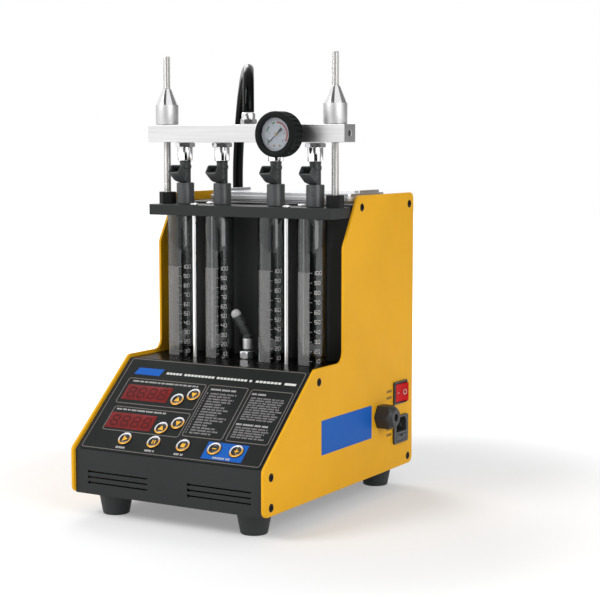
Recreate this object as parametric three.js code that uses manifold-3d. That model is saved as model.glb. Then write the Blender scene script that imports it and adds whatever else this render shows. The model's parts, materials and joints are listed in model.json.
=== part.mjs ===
// Fuel injector cleaner and tester: a bench cabinet with a sloped console, four graduated
// glass tubes under a clamp bar, a fuel rail with four injectors and a pressure gauge,
// and a covered ultrasonic bath in the top deck. Millimetres, +Z up, front towards -Y.
// The cabinet is laid out from its middle, the front edge and the lower edge of the side panels.

import * as THREE from 'three';
import { mergeVertices } from 'three/addons/utils/BufferGeometryUtils.js';
import Module from 'manifold-3d';

const wasm = await Module();
wasm.setup();

// Driving dimensions
const WIDTH = 230;
const DEPTH = 314.4;
const HEIGHT = 300;
const FOOT_HEIGHT = 24;
const PANEL = 3;
const SHEET = 2;
const RIM = 3.6;
const GAP = 0.3;
const CUT = 5;

// Outline of the side panels, its turning points along the depth and the height as shares
const outlineShares = { ledge: 0.3092, bay: 0.4965, shoulder: 0.6956 };
const FRONT_HEIGHT = 46.2;
const LEDGE_HEIGHT = 130.8;
const LEDGE_START = DEPTH * outlineShares.ledge;
const BAY_EDGE = DEPTH * outlineShares.bay;
const SHOULDER_HEIGHT = LEDGE_HEIGHT + (HEIGHT - LEDGE_HEIGHT) * outlineShares.shoulder;
const SHOULDER_REACH = 30.2;
const CORNER = 7;
const BAY_FILLET = 10;

// Lines that the upper works share
const STUD_INSET = 1.8;
const TUBE_LEAD = 6.3;
const WALL_INSET = 25.5;
const STUD_MARGIN = 11.4;
const stationShares = [-0.388, -0.1602, 0.1602, 0.388];
const DECK_DROP = 9.5;

const INNER_HALF = WIDTH / 2 - PANEL;
const SHELL_HALF = INNER_HALF - GAP;
const LEDGE_TOP = LEDGE_HEIGHT - RIM;
const DECK_TOP = HEIGHT - DECK_DROP;
const SLOPE = Math.atan2(LEDGE_HEIGHT - FRONT_HEIGHT, LEDGE_START);
const STUD_LINE = BAY_EDGE + STUD_INSET;
const TUBE_LINE = STUD_LINE - TUBE_LEAD;
const WALL_LINE = BAY_EDGE + WALL_INSET;
const STUD_SPACING = WIDTH - STUD_MARGIN * 2;
const STATIONS = stationShares.map((share) => share * STUD_SPACING);
const PAIR_MIDDLE = (STATIONS[2] + STATIONS[3]) / 2;
const SIDES = [-1, 1];
const SIDE_NAMES = ['left', 'right'];

// Counts of flats and steps on curved surfaces
const HEXAGON = 6;
const ROUND = 20;
const MEDIUM_ROUND = 12;
const SMALL_ROUND = 10;
const FILLET_STEPS = 3;

const v2 = (x, y) => new THREE.Vector2(x, y);

// Finishes
function finish(color, roughness, metalness, opacity = 1) {
  return new THREE.MeshStandardMaterial({
    color, roughness, metalness, opacity, transparent: opacity < 1,
  });
}
const YELLOW = () => finish(0xdea530, 0.45, 0.1);
const BLACK_PAINT = () => finish(0x38393a, 0.5, 0.1);
const DARK_PLASTIC = () => finish(0x2b2d2e, 0.45, 0);
const GREY_PLASTIC = () => finish(0x4a4c4d, 0.5, 0);
const OVERLAY_FILM = () => finish(0x262929, 0.35, 0);
const RUBBER = () => finish(0x2a2c2d, 0.85, 0);
const CHROME = () => finish(0xd8dadc, 0.12, 1);
const STEEL = () => finish(0xbfc1c3, 0.3, 1);
const ALUMINIUM = () => finish(0xd5d6d6, 0.35, 1);
const GLASS = () => finish(0x9a9c9d, 0.05, 0, 0.4);
const RED = () => finish(0xb82020, 0.35, 0);
const WHITE = () => finish(0xf0f0ee, 0.5, 0);
const BOARD_GREEN = () => finish(0x1d5a36, 0.5, 0.1);

// Turns a closed geometry into bare welded triangles without the flat ones at its poles
function welded(geometry) {
  geometry.deleteAttribute('normal');
  geometry.deleteAttribute('uv');
  const merged = mergeVertices(geometry);
  const index = merged.index.array;
  const kept = [];
  for (let i = 0; i < index.length; i += 3) {
    const [a, b, c] = [index[i], index[i + 1], index[i + 2]];
    if (a !== b && b !== c && c !== a) kept.push(a, b, c);
  }
  merged.setIndex(kept);
  return merged;
}

function solid(geometry) {
  const bare = welded(geometry);
  return new wasm.Manifold(new wasm.Mesh({
    numProp: 3,
    vertProperties: new Float32Array(bare.attributes.position.array),
    triVerts: new Uint32Array(bare.index.array),
  }));
}

function toGeometry(shape) {
  const mesh = shape.getMesh();
  const geometry = new THREE.BufferGeometry();
  geometry.setAttribute('position', new THREE.BufferAttribute(mesh.vertProperties, 3));
  geometry.setIndex(new THREE.BufferAttribute(mesh.triVerts, 1));
  return geometry;
}

function join(...geometries) {
  return geometries.map((g) => solid(g)).reduce((sum, next) => sum.add(next));
}

function cut(body, ...geometries) {
  return geometries.reduce((rest, g) => rest.subtract(solid(g)), body);
}

// A named piece, from a geometry or from a joined and cut solid
function piece(parent, name, shape, material) {
  const geometry = shape.isBufferGeometry ? welded(shape) : toGeometry(shape);
  const mesh = new THREE.Mesh(geometry, material);
  mesh.name = name;
  parent.add(mesh);
  return mesh;
}

// A box from its lowest corner and its sizes
function box(x, y, z, width, depth, height) {
  const geometry = new THREE.BoxGeometry(width, depth, height);
  return geometry.translate(x + width / 2, y + depth / 2, z + height / 2);
}

// A box that is centred on x and y and stands on z
function post(x, y, z, width, depth, height) {
  return box(x - width / 2, y - depth / 2, z, width, depth, height);
}

// Corners of an outline, each rounded by its own radius
function rounded(corners) {
  const points = [];
  corners.forEach(([point, radius], i) => {
    const before = corners[(i + corners.length - 1) % corners.length][0];
    const after = corners[(i + 1) % corners.length][0];
    if (!radius) {
      points.push(point.clone());
      return;
    }
    const toBefore = before.clone().sub(point).normalize();
    const toAfter = after.clone().sub(point).normalize();
    const half = Math.acos(toBefore.dot(toAfter)) / 2;
    const reach = radius / Math.tan(half);
    const middle = toBefore.clone().add(toAfter).normalize().multiplyScalar(radius / Math.sin(half));
    const centre = point.clone().add(middle);
    const start = point.clone().addScaledVector(toBefore, reach).sub(centre);
    const end = point.clone().addScaledVector(toAfter, reach).sub(centre);
    const sweep = Math.atan2(start.cross(end), start.dot(end));
    for (let step = 0; step <= FILLET_STEPS; step += 1) {
      const turned = start.clone().rotateAround(v2(0, 0), (sweep * step) / FILLET_STEPS);
      points.push(turned.add(centre));
    }
  });
  return points;
}

function roundedRectangle(width, height, radius) {
  const [w, h] = [width / 2, height / 2];
  return rounded([v2(-w, -h), v2(w, -h), v2(w, h), v2(-w, h)].map((p) => [p, radius]));
}

// A flat outline in X and Y pushed up from z
function plate(points, z, thickness, holes = []) {
  const shape = new THREE.Shape(points);
  shape.holes = holes.map((hole) => new THREE.Path(hole));
  const geometry = new THREE.ExtrudeGeometry(shape, { depth: thickness, bevelEnabled: false });
  return geometry.translate(0, 0, z);
}

// An outline in Y and Z pushed along X
function acrossX(points, x, width, holes = []) {
  const turn = new THREE.Matrix4().set(0, 0, 1, 0, 1, 0, 0, 0, 0, 1, 0, 0, 0, 0, 0, 1);
  return plate(points, 0, width, holes).applyMatrix4(turn).translate(x, 0, 0);
}

// A profile of radius and height revolved about the Z axis
function turned(profile, flats = ROUND) {
  const points = profile.map(([radius, height]) => v2(radius, height));
  return new THREE.LatheGeometry(points, flats).rotateX(Math.PI / 2);
}

function rod(radius, z, length, flats = ROUND) {
  return turned([[0, z], [radius, z], [radius, z + length], [0, z + length]], flats);
}

function hexagon(acrossFlats, z, height) {
  return rod(acrossFlats / 2 / Math.cos(Math.PI / HEXAGON), z, height, HEXAGON);
}

// The line of a folded sheet moved inwards by a distance
function inset(path, distance) {
  const lines = path.slice(1).map((end, i) => {
    const along = end.clone().sub(path[i]).normalize();
    const inward = v2(along.y, -along.x);
    return { from: path[i].clone().addScaledVector(inward, distance), along, end, inward };
  });
  const moved = [lines[0].from];
  for (let i = 1; i < lines.length; i += 1) {
    const [a, b] = [lines[i - 1], lines[i]];
    const share = b.from.clone().sub(a.from).cross(b.along) / a.along.cross(b.along);
    moved.push(a.from.clone().addScaledVector(a.along, share));
  }
  const last = lines[lines.length - 1];
  moved.push(last.end.clone().addScaledVector(last.inward, distance));
  return moved;
}

// A sheet folded along a line, reaching from one side panel to the other
function foldedSheet(path) {
  return solid(acrossX([...path, ...inset(path, SHEET).reverse()], -SHELL_HALF, SHELL_HALF * 2));
}

const machine = new THREE.Group();

// Cabinet
const cabinet = new THREE.Group();
machine.add(cabinet);

// Side panels
const panelScrew = { edge: 13.7, low: 8.4, high: 12.4, back: 10.4, radius: 2.2 };
const panelCorners = {
  frontFoot: v2(0, 0),
  frontKnee: v2(0, FRONT_HEIGHT),
  ledgeFront: v2(LEDGE_START, LEDGE_HEIGHT),
  ledgeBack: v2(BAY_EDGE, LEDGE_HEIGHT),
  shoulder: v2(BAY_EDGE, SHOULDER_HEIGHT),
  topFront: v2(BAY_EDGE + SHOULDER_REACH, HEIGHT),
  topBack: v2(DEPTH, HEIGHT),
  backFoot: v2(DEPTH, 0),
};
const panelScrewPlaces = [
  v2(panelScrew.edge, panelScrew.low),
  v2(panelScrew.edge, FRONT_HEIGHT - panelScrew.low),
  v2(LEDGE_START + panelScrew.low, LEDGE_HEIGHT - panelScrew.edge),
  v2(BAY_EDGE + SHOULDER_REACH + panelScrew.low, HEIGHT - panelScrew.high),
  v2(DEPTH - panelScrew.back, HEIGHT - panelScrew.high),
  v2(DEPTH - panelScrew.back, panelScrew.low),
];

// Openings of the right panel for the switch, the inlet and the signal socket
const rocker = {
  back: 31.5, z: 82.6, length: 31.5, height: 25, proud: 2.2, wall: 2.5, bodyDepth: 16,
  pivotInset: 3.6, reach: 11.5, face: 8, dip: 6.4, tail: 7, tilt: 10, pin: 1.5,
};
const inlet = {
  back: 31, z: 42, width: 33.5, height: 30.6, proud: 2.6, bodyWidth: 27.5, bodyHeight: 26.5,
  bodyDepth: 24, corner: 3, socketWidth: 23, socketHeight: 15.5, socketLift: 5.2, socketDepth: 15,
  bladeWidth: 2, bladeHeight: 4.6, bladeLength: 11, bladeSpacing: 7, bladeStep: 4,
  drawerWidth: 21, drawerHeight: 6.6, drawerDrop: 9.2, drawerDepth: 17,
};
const signal = {
  back: 77.7, z: 63, acrossFlats: 24, prism: 14.5, nose: 5.5, noseRadius: 9.4,
  bore: 4, boreDepth: 12, shank: 7, nut: 9, nutDepth: 5,
};
[rocker, inlet, signal].forEach((fitted) => { fitted.y = DEPTH - fitted.back; });

function centredOutline(width, height, y, z, radius) {
  return roundedRectangle(width, height, radius).map((p) => p.add(v2(y, z)));
}

function circleOutline(radius, y, z, flats = MEDIUM_ROUND) {
  return Array.from({ length: flats }, (_, i) => {
    const angle = (i / flats) * Math.PI * 2;
    return v2(y + radius * Math.cos(angle), z + radius * Math.sin(angle));
  });
}

function sidePanel(side) {
  const c = panelCorners;
  const outline = rounded([
    [c.frontFoot, CORNER], [c.frontKnee, CORNER], [c.ledgeFront, CORNER],
    [c.ledgeBack, BAY_FILLET], [c.shoulder, CORNER], [c.topFront, CORNER],
    [c.topBack, CORNER], [c.backFoot, CORNER],
  ]).reverse();
  const holes = panelScrewPlaces.map((p) => circleOutline(panelScrew.radius, p.x, p.y, SMALL_ROUND));
  if (side > 0) {
    const rockerHole = [rocker.length - rocker.wall, rocker.height - rocker.wall];
    holes.push(centredOutline(...rockerHole, rocker.y, rocker.z, 0));
    const inletHole = [inlet.bodyWidth + GAP * 2, inlet.bodyHeight + GAP * 2];
    holes.push(centredOutline(...inletHole, inlet.y, inlet.z, 0));
    holes.push(circleOutline(signal.shank + GAP, signal.y, signal.z));
  }
  const x = side > 0 ? INNER_HALF : -INNER_HALF - PANEL;
  return acrossX(outline, x, PANEL, holes);
}
SIDES.forEach((side, i) => piece(cabinet, `side_panel_${SIDE_NAMES[i]}`, sidePanel(side), YELLOW()));

// Frame of the slope: X across, Y up the slope, Z out of it
const slope = new THREE.Group();
slope.rotation.x = SLOPE;
slope.position.set(0, RIM * Math.sin(SLOPE), FRONT_HEIGHT - RIM * Math.cos(SLOPE));
slope.updateMatrix();
cabinet.add(slope);
const SLOPE_LENGTH = Math.hypot(LEDGE_START, LEDGE_HEIGHT - FRONT_HEIGHT);

const overlay = { thickness: 0.8, sideMargin: 3.9, margin: 3.2, topMargin: 2, corner: 3 };
overlay.halfWidth = SHELL_HALF - overlay.sideMargin;
const display = { width: 56.5, height: 20, margin: 14.95, upperY: 80.5, lowerY: 42.8 };
display.x = display.margin + display.width / 2 - overlay.halfWidth;
const button = {
  radius: 7.7, hole: 8, flange: 8.6, flangeThickness: 1.2, proud: 1, dish: 0.5, ring: 1.6, travel: 1,
};
const adjust = { reach: 12.15, step: 16, upDrop: 4.3, downRise: 3.9 };
const runKeyShares = [-0.5501, -0.2217, 0.1067];
const pressureKeyShares = [0.4462, 0.6837];
const runKeys = { y: 20.4 };
const pressureKeys = { y: 20.9 };
const upX = display.x + display.width / 2 + adjust.reach;
const [startX, pauseX, stopX] = runKeyShares.map((share) => share * overlay.halfWidth);
const [minusX, plusX] = pressureKeyShares.map((share) => share * overlay.halfWidth);
const buttonPlaces = {
  button_pulse_up: [upX, display.upperY - adjust.upDrop],
  button_pulse_down: [upX + adjust.step, display.upperY + adjust.downRise],
  button_time_up: [upX, display.lowerY - adjust.upDrop],
  button_time_down: [upX + adjust.step, display.lowerY + adjust.downRise],
  button_start: [startX, runKeys.y],
  button_pause: [pauseX, runKeys.y],
  button_stop: [stopX, runKeys.y],
  button_pressure_minus: [minusX, pressureKeys.y],
  button_pressure_plus: [plusX, pressureKeys.y],
};
const places = Object.values(buttonPlaces);
const windows = [display.upperY, display.lowerY];

// Tube seat, glass tubes and what passes through the ledge
const tube = { radius: 15.65, wall: 2, length: 166.8 };
const seat = { height: 16, depth: 44, overhang: 18, bore: 10, drain: 4 };
const bar = { lead: 17, depth: 41, thickness: 11.3, socket: 5, bossFlats: 16, bossHeight: 12.8 };
const stay = { radius: 2.2, inset: 5, headRadius: 4.2, headHeight: 2, sink: 6 };
const valve = { x: 1, behind: 2, flats: 16, nutHeight: 8.4, sleeve: 5.5, sleeveHeight: 12.8, shank: 5 };
valve.y = TUBE_LINE + valve.behind;
bar.front = TUBE_LINE - bar.lead;
const BAR_MIDDLE = bar.front + bar.depth / 2;
const SEAT_TOP = LEDGE_TOP - SHEET - GAP;
const TUBE_BOTTOM = SEAT_TOP - seat.bore + GAP;
const BAR_BOTTOM = TUBE_BOTTOM + tube.length - bar.socket + GAP;
const BAR_TOP = BAR_BOTTOM + bar.thickness;
const stayPlaces = [];
[bar.front + stay.inset, bar.front + bar.depth - stay.inset].forEach((y) => {
  SIDES.forEach((side) => stayPlaces.push([side * PAIR_MIDDLE, y]));
});

// Front shell: base, front face, slope and ledge, folded from one sheet
const vent = {
  width: 72.3, height: 1.5, end: 1.7, firstZ: 12, spacing: 5.6, rows: 3, leftMargin: 16.7, rightMargin: 13,
};
function frontShell() {
  const back = DEPTH - RIM;
  const path = [
    v2(back, 0), v2(0, 0), v2(0, FRONT_HEIGHT),
    v2(LEDGE_START, LEDGE_HEIGHT), v2(WALL_LINE - GAP, LEDGE_HEIGHT),
  ];
  const lowered = inset(path, RIM);
  const outer = [v2(back, 0), v2(RIM, 0), ...lowered.slice(2)];
  const shell = foldedSheet(outer);
  const cutters = [];
  [vent.leftMargin - SHELL_HALF, SHELL_HALF - vent.rightMargin - vent.width].forEach((x) => {
    for (let row = 0; row < vent.rows; row += 1) {
      const z = vent.firstZ + row * vent.spacing;
      const slot = box(x, RIM - CUT, z - vent.height / 2, vent.width, SHEET + CUT * 2, vent.height);
      const end = rod(vent.end, 0, SHEET + CUT * 2, SMALL_ROUND).rotateX(-Math.PI / 2);
      cutters.push(slot, end.translate(x, RIM - CUT, z));
    }
  });
  const slotDepth = SHEET + CUT;
  windows.forEach((y) => {
    const slot = post(display.x, y, -slotDepth, display.width, display.height, slotDepth + CUT);
    cutters.push(slot.applyMatrix4(slope.matrix));
  });
  places.forEach(([x, y]) => {
    const hole = rod(button.hole, -slotDepth, slotDepth + CUT, MEDIUM_ROUND).translate(x, y, 0);
    cutters.push(hole.applyMatrix4(slope.matrix));
  });
  const ledgeCut = SHEET + CUT * 2;
  const below = LEDGE_TOP - SHEET - CUT;
  STATIONS.forEach((x) => cutters.push(
    rod(tube.radius + GAP, below, ledgeCut).translate(x, TUBE_LINE, 0),
  ));
  stayPlaces.forEach(([x, y]) => cutters.push(
    rod(stay.radius + GAP, below, ledgeCut, SMALL_ROUND).translate(x, y, 0),
  ));
  const shankHole = rod(valve.shank + GAP, below, ledgeCut, MEDIUM_ROUND);
  cutters.push(shankHole.translate(valve.x, valve.y, 0));
  return cut(shell, ...cutters);
}
piece(cabinet, 'front_shell', frontShell(), BLACK_PAINT());

// Bath in the top deck, with its lid
const bath = {
  frontMargin: 35.2, backMargin: 14, sideMargin: 23.7, flange: 8, thickness: 1.2, tank: 60, wall: 1,
  corner: 12, transducer: 19, transducerHeight: 24, spacing: 70,
};
bath.halfWidth = SHELL_HALF - bath.sideMargin;
bath.depth = DEPTH - bath.backMargin - WALL_LINE - bath.frontMargin;
bath.y = DEPTH - bath.backMargin - bath.depth / 2;
const BATH_BOTTOM = DECK_TOP + GAP + bath.thickness - bath.tank;
const lid = {
  sideLip: 2.4, endLip: 1.2, corner: 9, skirt: 4.4, step: 2.2, rise: 3.6, wall: 1,
  gripLength: 47, gripWidth: 7, gripHeight: 3, gripInset: 2, gripBack: 7,
};
lid.halfWidth = bath.halfWidth + lid.sideLip;
lid.depth = bath.depth + lid.endLip * 2;

// Rear cover: back wall of the bay, top deck and rear face, folded from one sheet
const hoseBoss = { sideMargin: 8, backMargin: 15.8, radius: 7.4, height: 5.5 };
hoseBoss.x = hoseBoss.sideMargin - SHELL_HALF;
hoseBoss.y = DEPTH - hoseBoss.backMargin;
const rearVent = { width: 60, height: 3, spacing: 9, rows: 6, lowest: 40 };
function rearCover() {
  const back = DEPTH - RIM;
  const path = [
    v2(WALL_LINE, LEDGE_TOP - seat.height), v2(WALL_LINE, DECK_TOP),
    v2(back, DECK_TOP), v2(back, SHEET + GAP),
  ];
  const boss = rod(hoseBoss.radius, DECK_TOP - SHEET / 2, hoseBoss.height + SHEET / 2, SMALL_ROUND);
  const cover = foldedSheet(path).add(solid(boss.translate(hoseBoss.x, hoseBoss.y, 0)));
  const wellWidth = (bath.halfWidth - bath.flange + GAP) * 2;
  const wellDepth = bath.depth - (bath.flange - GAP) * 2;
  const well = plate(
    roundedRectangle(wellWidth, wellDepth, bath.corner), DECK_TOP - SHEET - CUT, SHEET + CUT * 2,
  );
  const cutters = [well.translate(0, bath.y, 0)];
  SIDES.forEach((side) => {
    for (let row = 0; row < rearVent.rows; row += 1) {
      const z = rearVent.lowest + row * rearVent.spacing;
      const x = side * rearVent.width * 0.75;
      cutters.push(post(x, back, z, rearVent.width, (SHEET + CUT) * 2, rearVent.height));
    }
  });
  return cut(cover, ...cutters);
}
piece(cabinet, 'rear_cover', rearCover(), BLACK_PAINT());

function bathTub() {
  const bottom = BATH_BOTTOM;
  const tankWidth = (bath.halfWidth - bath.flange) * 2;
  const tankDepth = bath.depth - bath.flange * 2;
  const flange = plate(
    roundedRectangle(bath.halfWidth * 2, bath.depth, bath.corner), DECK_TOP + GAP, bath.thickness,
  );
  const tank = plate(roundedRectangle(tankWidth, tankDepth, bath.corner), bottom, bath.tank);
  const hollow = plate(
    roundedRectangle(tankWidth - bath.wall * 2, tankDepth - bath.wall * 2, bath.corner - bath.wall),
    bottom + bath.wall, bath.tank + CUT,
  );
  const drivers = SIDES.map((side) => rod(
    bath.transducer, bottom - bath.transducerHeight, bath.transducerHeight + bath.wall / 2,
  ).translate((side * bath.spacing) / 2, 0, 0));
  return cut(join(flange, tank, ...drivers), hollow);
}
piece(cabinet, 'bath_tub', bathTub().translate([0, bath.y, 0]), STEEL());

function bathLid() {
  const base = DECK_TOP + GAP * 2 + bath.thickness;
  const skirt = plate(roundedRectangle(lid.halfWidth * 2, lid.depth, lid.corner), base, lid.skirt);
  const innerWidth = (lid.halfWidth - lid.step) * 2;
  const innerDepth = lid.depth - lid.step * 2;
  const crown = plate(
    roundedRectangle(innerWidth, innerDepth, lid.corner - lid.step), base, lid.skirt + lid.rise,
  );
  const hollow = plate(
    roundedRectangle(
      innerWidth - lid.wall * 2, innerDepth - lid.wall * 2, lid.corner - lid.step - lid.wall,
    ),
    base - CUT, lid.skirt + lid.rise + CUT - lid.wall,
  );
  const gripX = lid.halfWidth - lid.step - lid.gripInset - lid.gripWidth / 2;
  const gripBase = base + lid.skirt + lid.rise - lid.wall / 2;
  const grips = SIDES.map((side) => plate(
    roundedRectangle(lid.gripWidth, lid.gripLength, lid.gripWidth / 3),
    gripBase, lid.gripHeight + lid.wall / 2,
  ).translate(side * gripX, lid.gripBack, 0));
  return cut(join(skirt, crown), hollow).add(join(...grips)).translate([0, bath.y, 0]);
}
piece(cabinet, 'bath_lid', bathLid(), STEEL());

// Feet
const foot = { inset: 31.5, front: 33.4, back: 27.1, top: 17.4, bottom: 13.7, round: 1.5, waist: 3 };
const footLines = { front: foot.front, back: DEPTH - foot.back };
['front', 'back'].forEach((end) => {
  SIDES.forEach((side, i) => {
    const profile = [
      [0, -FOOT_HEIGHT], [foot.bottom - foot.round, -FOOT_HEIGHT],
      [foot.bottom, foot.round - FOOT_HEIGHT], [foot.top, -GAP - foot.waist],
      [foot.top, -GAP], [0, -GAP],
    ];
    const shape = turned(profile).translate(side * (WIDTH / 2 - foot.inset), footLines[end], 0);
    piece(cabinet, `foot_${end}_${SIDE_NAMES[i]}`, shape, RUBBER());
  });
});

// Control overlay with the windows and button holes
function controlOverlay() {
  const height = SLOPE_LENGTH - overlay.margin - overlay.topMargin;
  const outline = roundedRectangle(overlay.halfWidth * 2, height, overlay.corner);
  outline.forEach((p) => p.add(v2(0, overlay.margin + height / 2)));
  const holes = windows.map((y) => centredOutline(display.width, display.height, display.x, y, 0));
  places.forEach(([x, y]) => holes.push(circleOutline(button.hole, x, y)));
  return plate(outline, GAP, overlay.thickness, holes);
}
piece(slope, 'control_overlay', controlOverlay(), OVERLAY_FILM());
const OVERLAY_TOP = GAP + overlay.thickness;

// Buttons: a dished cap with a ring, held under the sheet by its flange
function buttonCap() {
  const flangeTop = -SHEET - GAP;
  return turned([
    [0, flangeTop - button.flangeThickness], [button.flange, flangeTop - button.flangeThickness],
    [button.flange, flangeTop], [button.radius, flangeTop],
    [button.radius, OVERLAY_TOP + button.proud - button.ring / 4],
    [button.radius - button.ring / 4, OVERLAY_TOP + button.proud],
    [button.radius - button.ring, OVERLAY_TOP + button.proud],
    [button.radius - button.ring - button.dish, OVERLAY_TOP + button.proud - button.dish],
    [0, OVERLAY_TOP + button.proud - button.dish],
  ], MEDIUM_ROUND);
}
Object.entries(buttonPlaces).forEach(([name, [x, y]]) => {
  piece(slope, name, buttonCap().translate(x, y, 0), DARK_PLASTIC());
});

// Control board with the display blocks, the key switches and its standoffs
const board = {
  leftInset: 7.8, rightInset: 17.8, low: 8, topMargin: 30.8, thickness: 1.6, drop: 11, standoff: 3,
};
board.left = board.leftInset - overlay.halfWidth;
board.right = overlay.halfWidth - board.rightInset;
board.high = SLOPE_LENGTH - board.topMargin;
function controlBoard() {
  const top = -SHEET - board.drop;
  const [width, height] = [board.right - board.left, board.high - board.low];
  const pieces = [box(board.left, board.low, top - board.thickness, width, height, board.thickness)];
  const root = top - board.thickness / 2;
  const clear = GAP * 2;
  windows.forEach((y) => pieces.push(post(
    display.x, y, root, display.width - clear, display.height - clear, -root + GAP / 2,
  )));
  const switchTop = -SHEET - GAP * 2 - button.flangeThickness - button.travel;
  places.forEach(([x, y]) => pieces.push(
    rod(button.radius / 3, root, switchTop - root, SMALL_ROUND / 2).translate(x, y, 0),
  ));
  const inner = board.standoff * 1.5;
  [board.left + inner, board.right - inner].forEach((x) => {
    [board.low + inner, board.high - inner].forEach((y) => pieces.push(
      rod(board.standoff, root, -SHEET - GAP - root, SMALL_ROUND / 2).translate(x, y, 0),
    ));
  });
  return join(...pieces);
}
piece(slope, 'control_board', controlBoard(), BOARD_GREEN());

// Tube works
const works = new THREE.Group();
machine.add(works);

function tubeSeat() {
  const width = (STATIONS[3] + seat.overhang) * 2;
  const block = post(0, BAR_MIDDLE, SEAT_TOP - seat.height, width, seat.depth, seat.height);
  const cutters = [];
  STATIONS.forEach((x) => {
    const socket = rod(tube.radius + GAP, SEAT_TOP - seat.bore, seat.bore + CUT);
    const drain = rod(seat.drain, SEAT_TOP - seat.height - CUT, seat.height + CUT, SMALL_ROUND);
    cutters.push(socket.translate(x, TUBE_LINE, 0), drain.translate(x, TUBE_LINE, 0));
  });
  stayPlaces.forEach(([x, y]) => cutters.push(
    rod(stay.radius + GAP, SEAT_TOP - stay.sink, stay.sink + CUT, SMALL_ROUND).translate(x, y, 0),
  ));
  return cut(solid(block), ...cutters);
}
piece(works, 'tube_seat', tubeSeat(), DARK_PLASTIC());

STATIONS.forEach((x, i) => {
  const top = TUBE_BOTTOM + tube.length;
  const inner = tube.radius - tube.wall;
  const glass = turned([
    [tube.radius, TUBE_BOTTOM], [tube.radius, top], [inner, top], [inner, TUBE_BOTTOM],
    [tube.radius, TUBE_BOTTOM],
  ]);
  piece(works, `tube_${i + 1}`, glass.translate(x, TUBE_LINE, 0), GLASS());
});

stayPlaces.forEach(([x, y], i) => {
  const bottom = SEAT_TOP - stay.sink + GAP;
  const head = BAR_TOP + GAP;
  const profile = [
    [0, bottom], [stay.radius, bottom], [stay.radius, head], [stay.headRadius, head],
    [stay.headRadius, head + stay.headHeight * 0.6], [stay.headRadius * 0.6, head + stay.headHeight],
    [0, head + stay.headHeight],
  ];
  piece(works, `stay_rod_${i + 1}`, turned(profile, SMALL_ROUND).translate(x, y, 0), CHROME());
});

// Clamp bar with a hexagon boss at each stud
const stud = { radius: 4, length: 167.7, sink: 1, chamfer: 1 };
const injector = {
  nozzle: 4, nozzleLength: 21, lower: 9.5, lowerHeight: 22.8, neck: 5.4, neckHeight: 29.3,
  collar: 6.5, collarLow: 14.6, collarHeight: 4.7, shoulder: 1.2,
  socketWidth: 14, socketHeight: 10.9, socketReach: 24.8, socketRise: 36.6, socketWall: 1.5,
  socketDepth: 8, socketRoot: 4, blade: 1, bladeLength: 6,
};
function clampBar() {
  const parts = [post(0, BAR_MIDDLE, BAR_BOTTOM, SHELL_HALF * 2, bar.depth, bar.thickness)];
  const cutters = [];
  SIDES.forEach((side) => {
    const x = (side * STUD_SPACING) / 2;
    const boss = hexagon(bar.bossFlats, BAR_TOP - bar.thickness / 2, bar.bossHeight + bar.thickness / 2);
    parts.push(boss.translate(x, STUD_LINE, 0));
    const hole = rod(
      stud.radius + GAP, BAR_BOTTOM - CUT, bar.thickness + bar.bossHeight + CUT * 2, MEDIUM_ROUND,
    );
    cutters.push(hole.translate(x, STUD_LINE, 0));
  });
  STATIONS.forEach((x) => {
    const socket = rod(tube.radius + GAP, BAR_BOTTOM - CUT, bar.socket + CUT);
    cutters.push(socket.translate(x, TUBE_LINE, 0));
    const hole = rod(
      injector.nozzle + injector.shoulder, BAR_BOTTOM - CUT, bar.thickness + CUT * 2, MEDIUM_ROUND,
    );
    cutters.push(hole.translate(x, STUD_LINE, 0));
  });
  stayPlaces.forEach(([x, y]) => cutters.push(
    rod(stay.radius + GAP, BAR_BOTTOM - CUT, bar.thickness + CUT * 2, SMALL_ROUND).translate(x, y, 0),
  ));
  return cut(join(...parts), ...cutters);
}
piece(works, 'clamp_bar', clampBar(), BLACK_PAINT());

const STUD_TOP = BAR_BOTTOM + stud.sink + stud.length;
SIDES.forEach((side, i) => {
  const profile = [
    [0, BAR_BOTTOM + stud.sink], [stud.radius, BAR_BOTTOM + stud.sink],
    [stud.radius, STUD_TOP - stud.chamfer], [stud.radius - stud.chamfer, STUD_TOP], [0, STUD_TOP],
  ];
  const shape = turned(profile, MEDIUM_ROUND).translate((side * STUD_SPACING) / 2, STUD_LINE, 0);
  piece(works, `stud_${SIDE_NAMES[i]}`, shape, STEEL());
});

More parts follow.
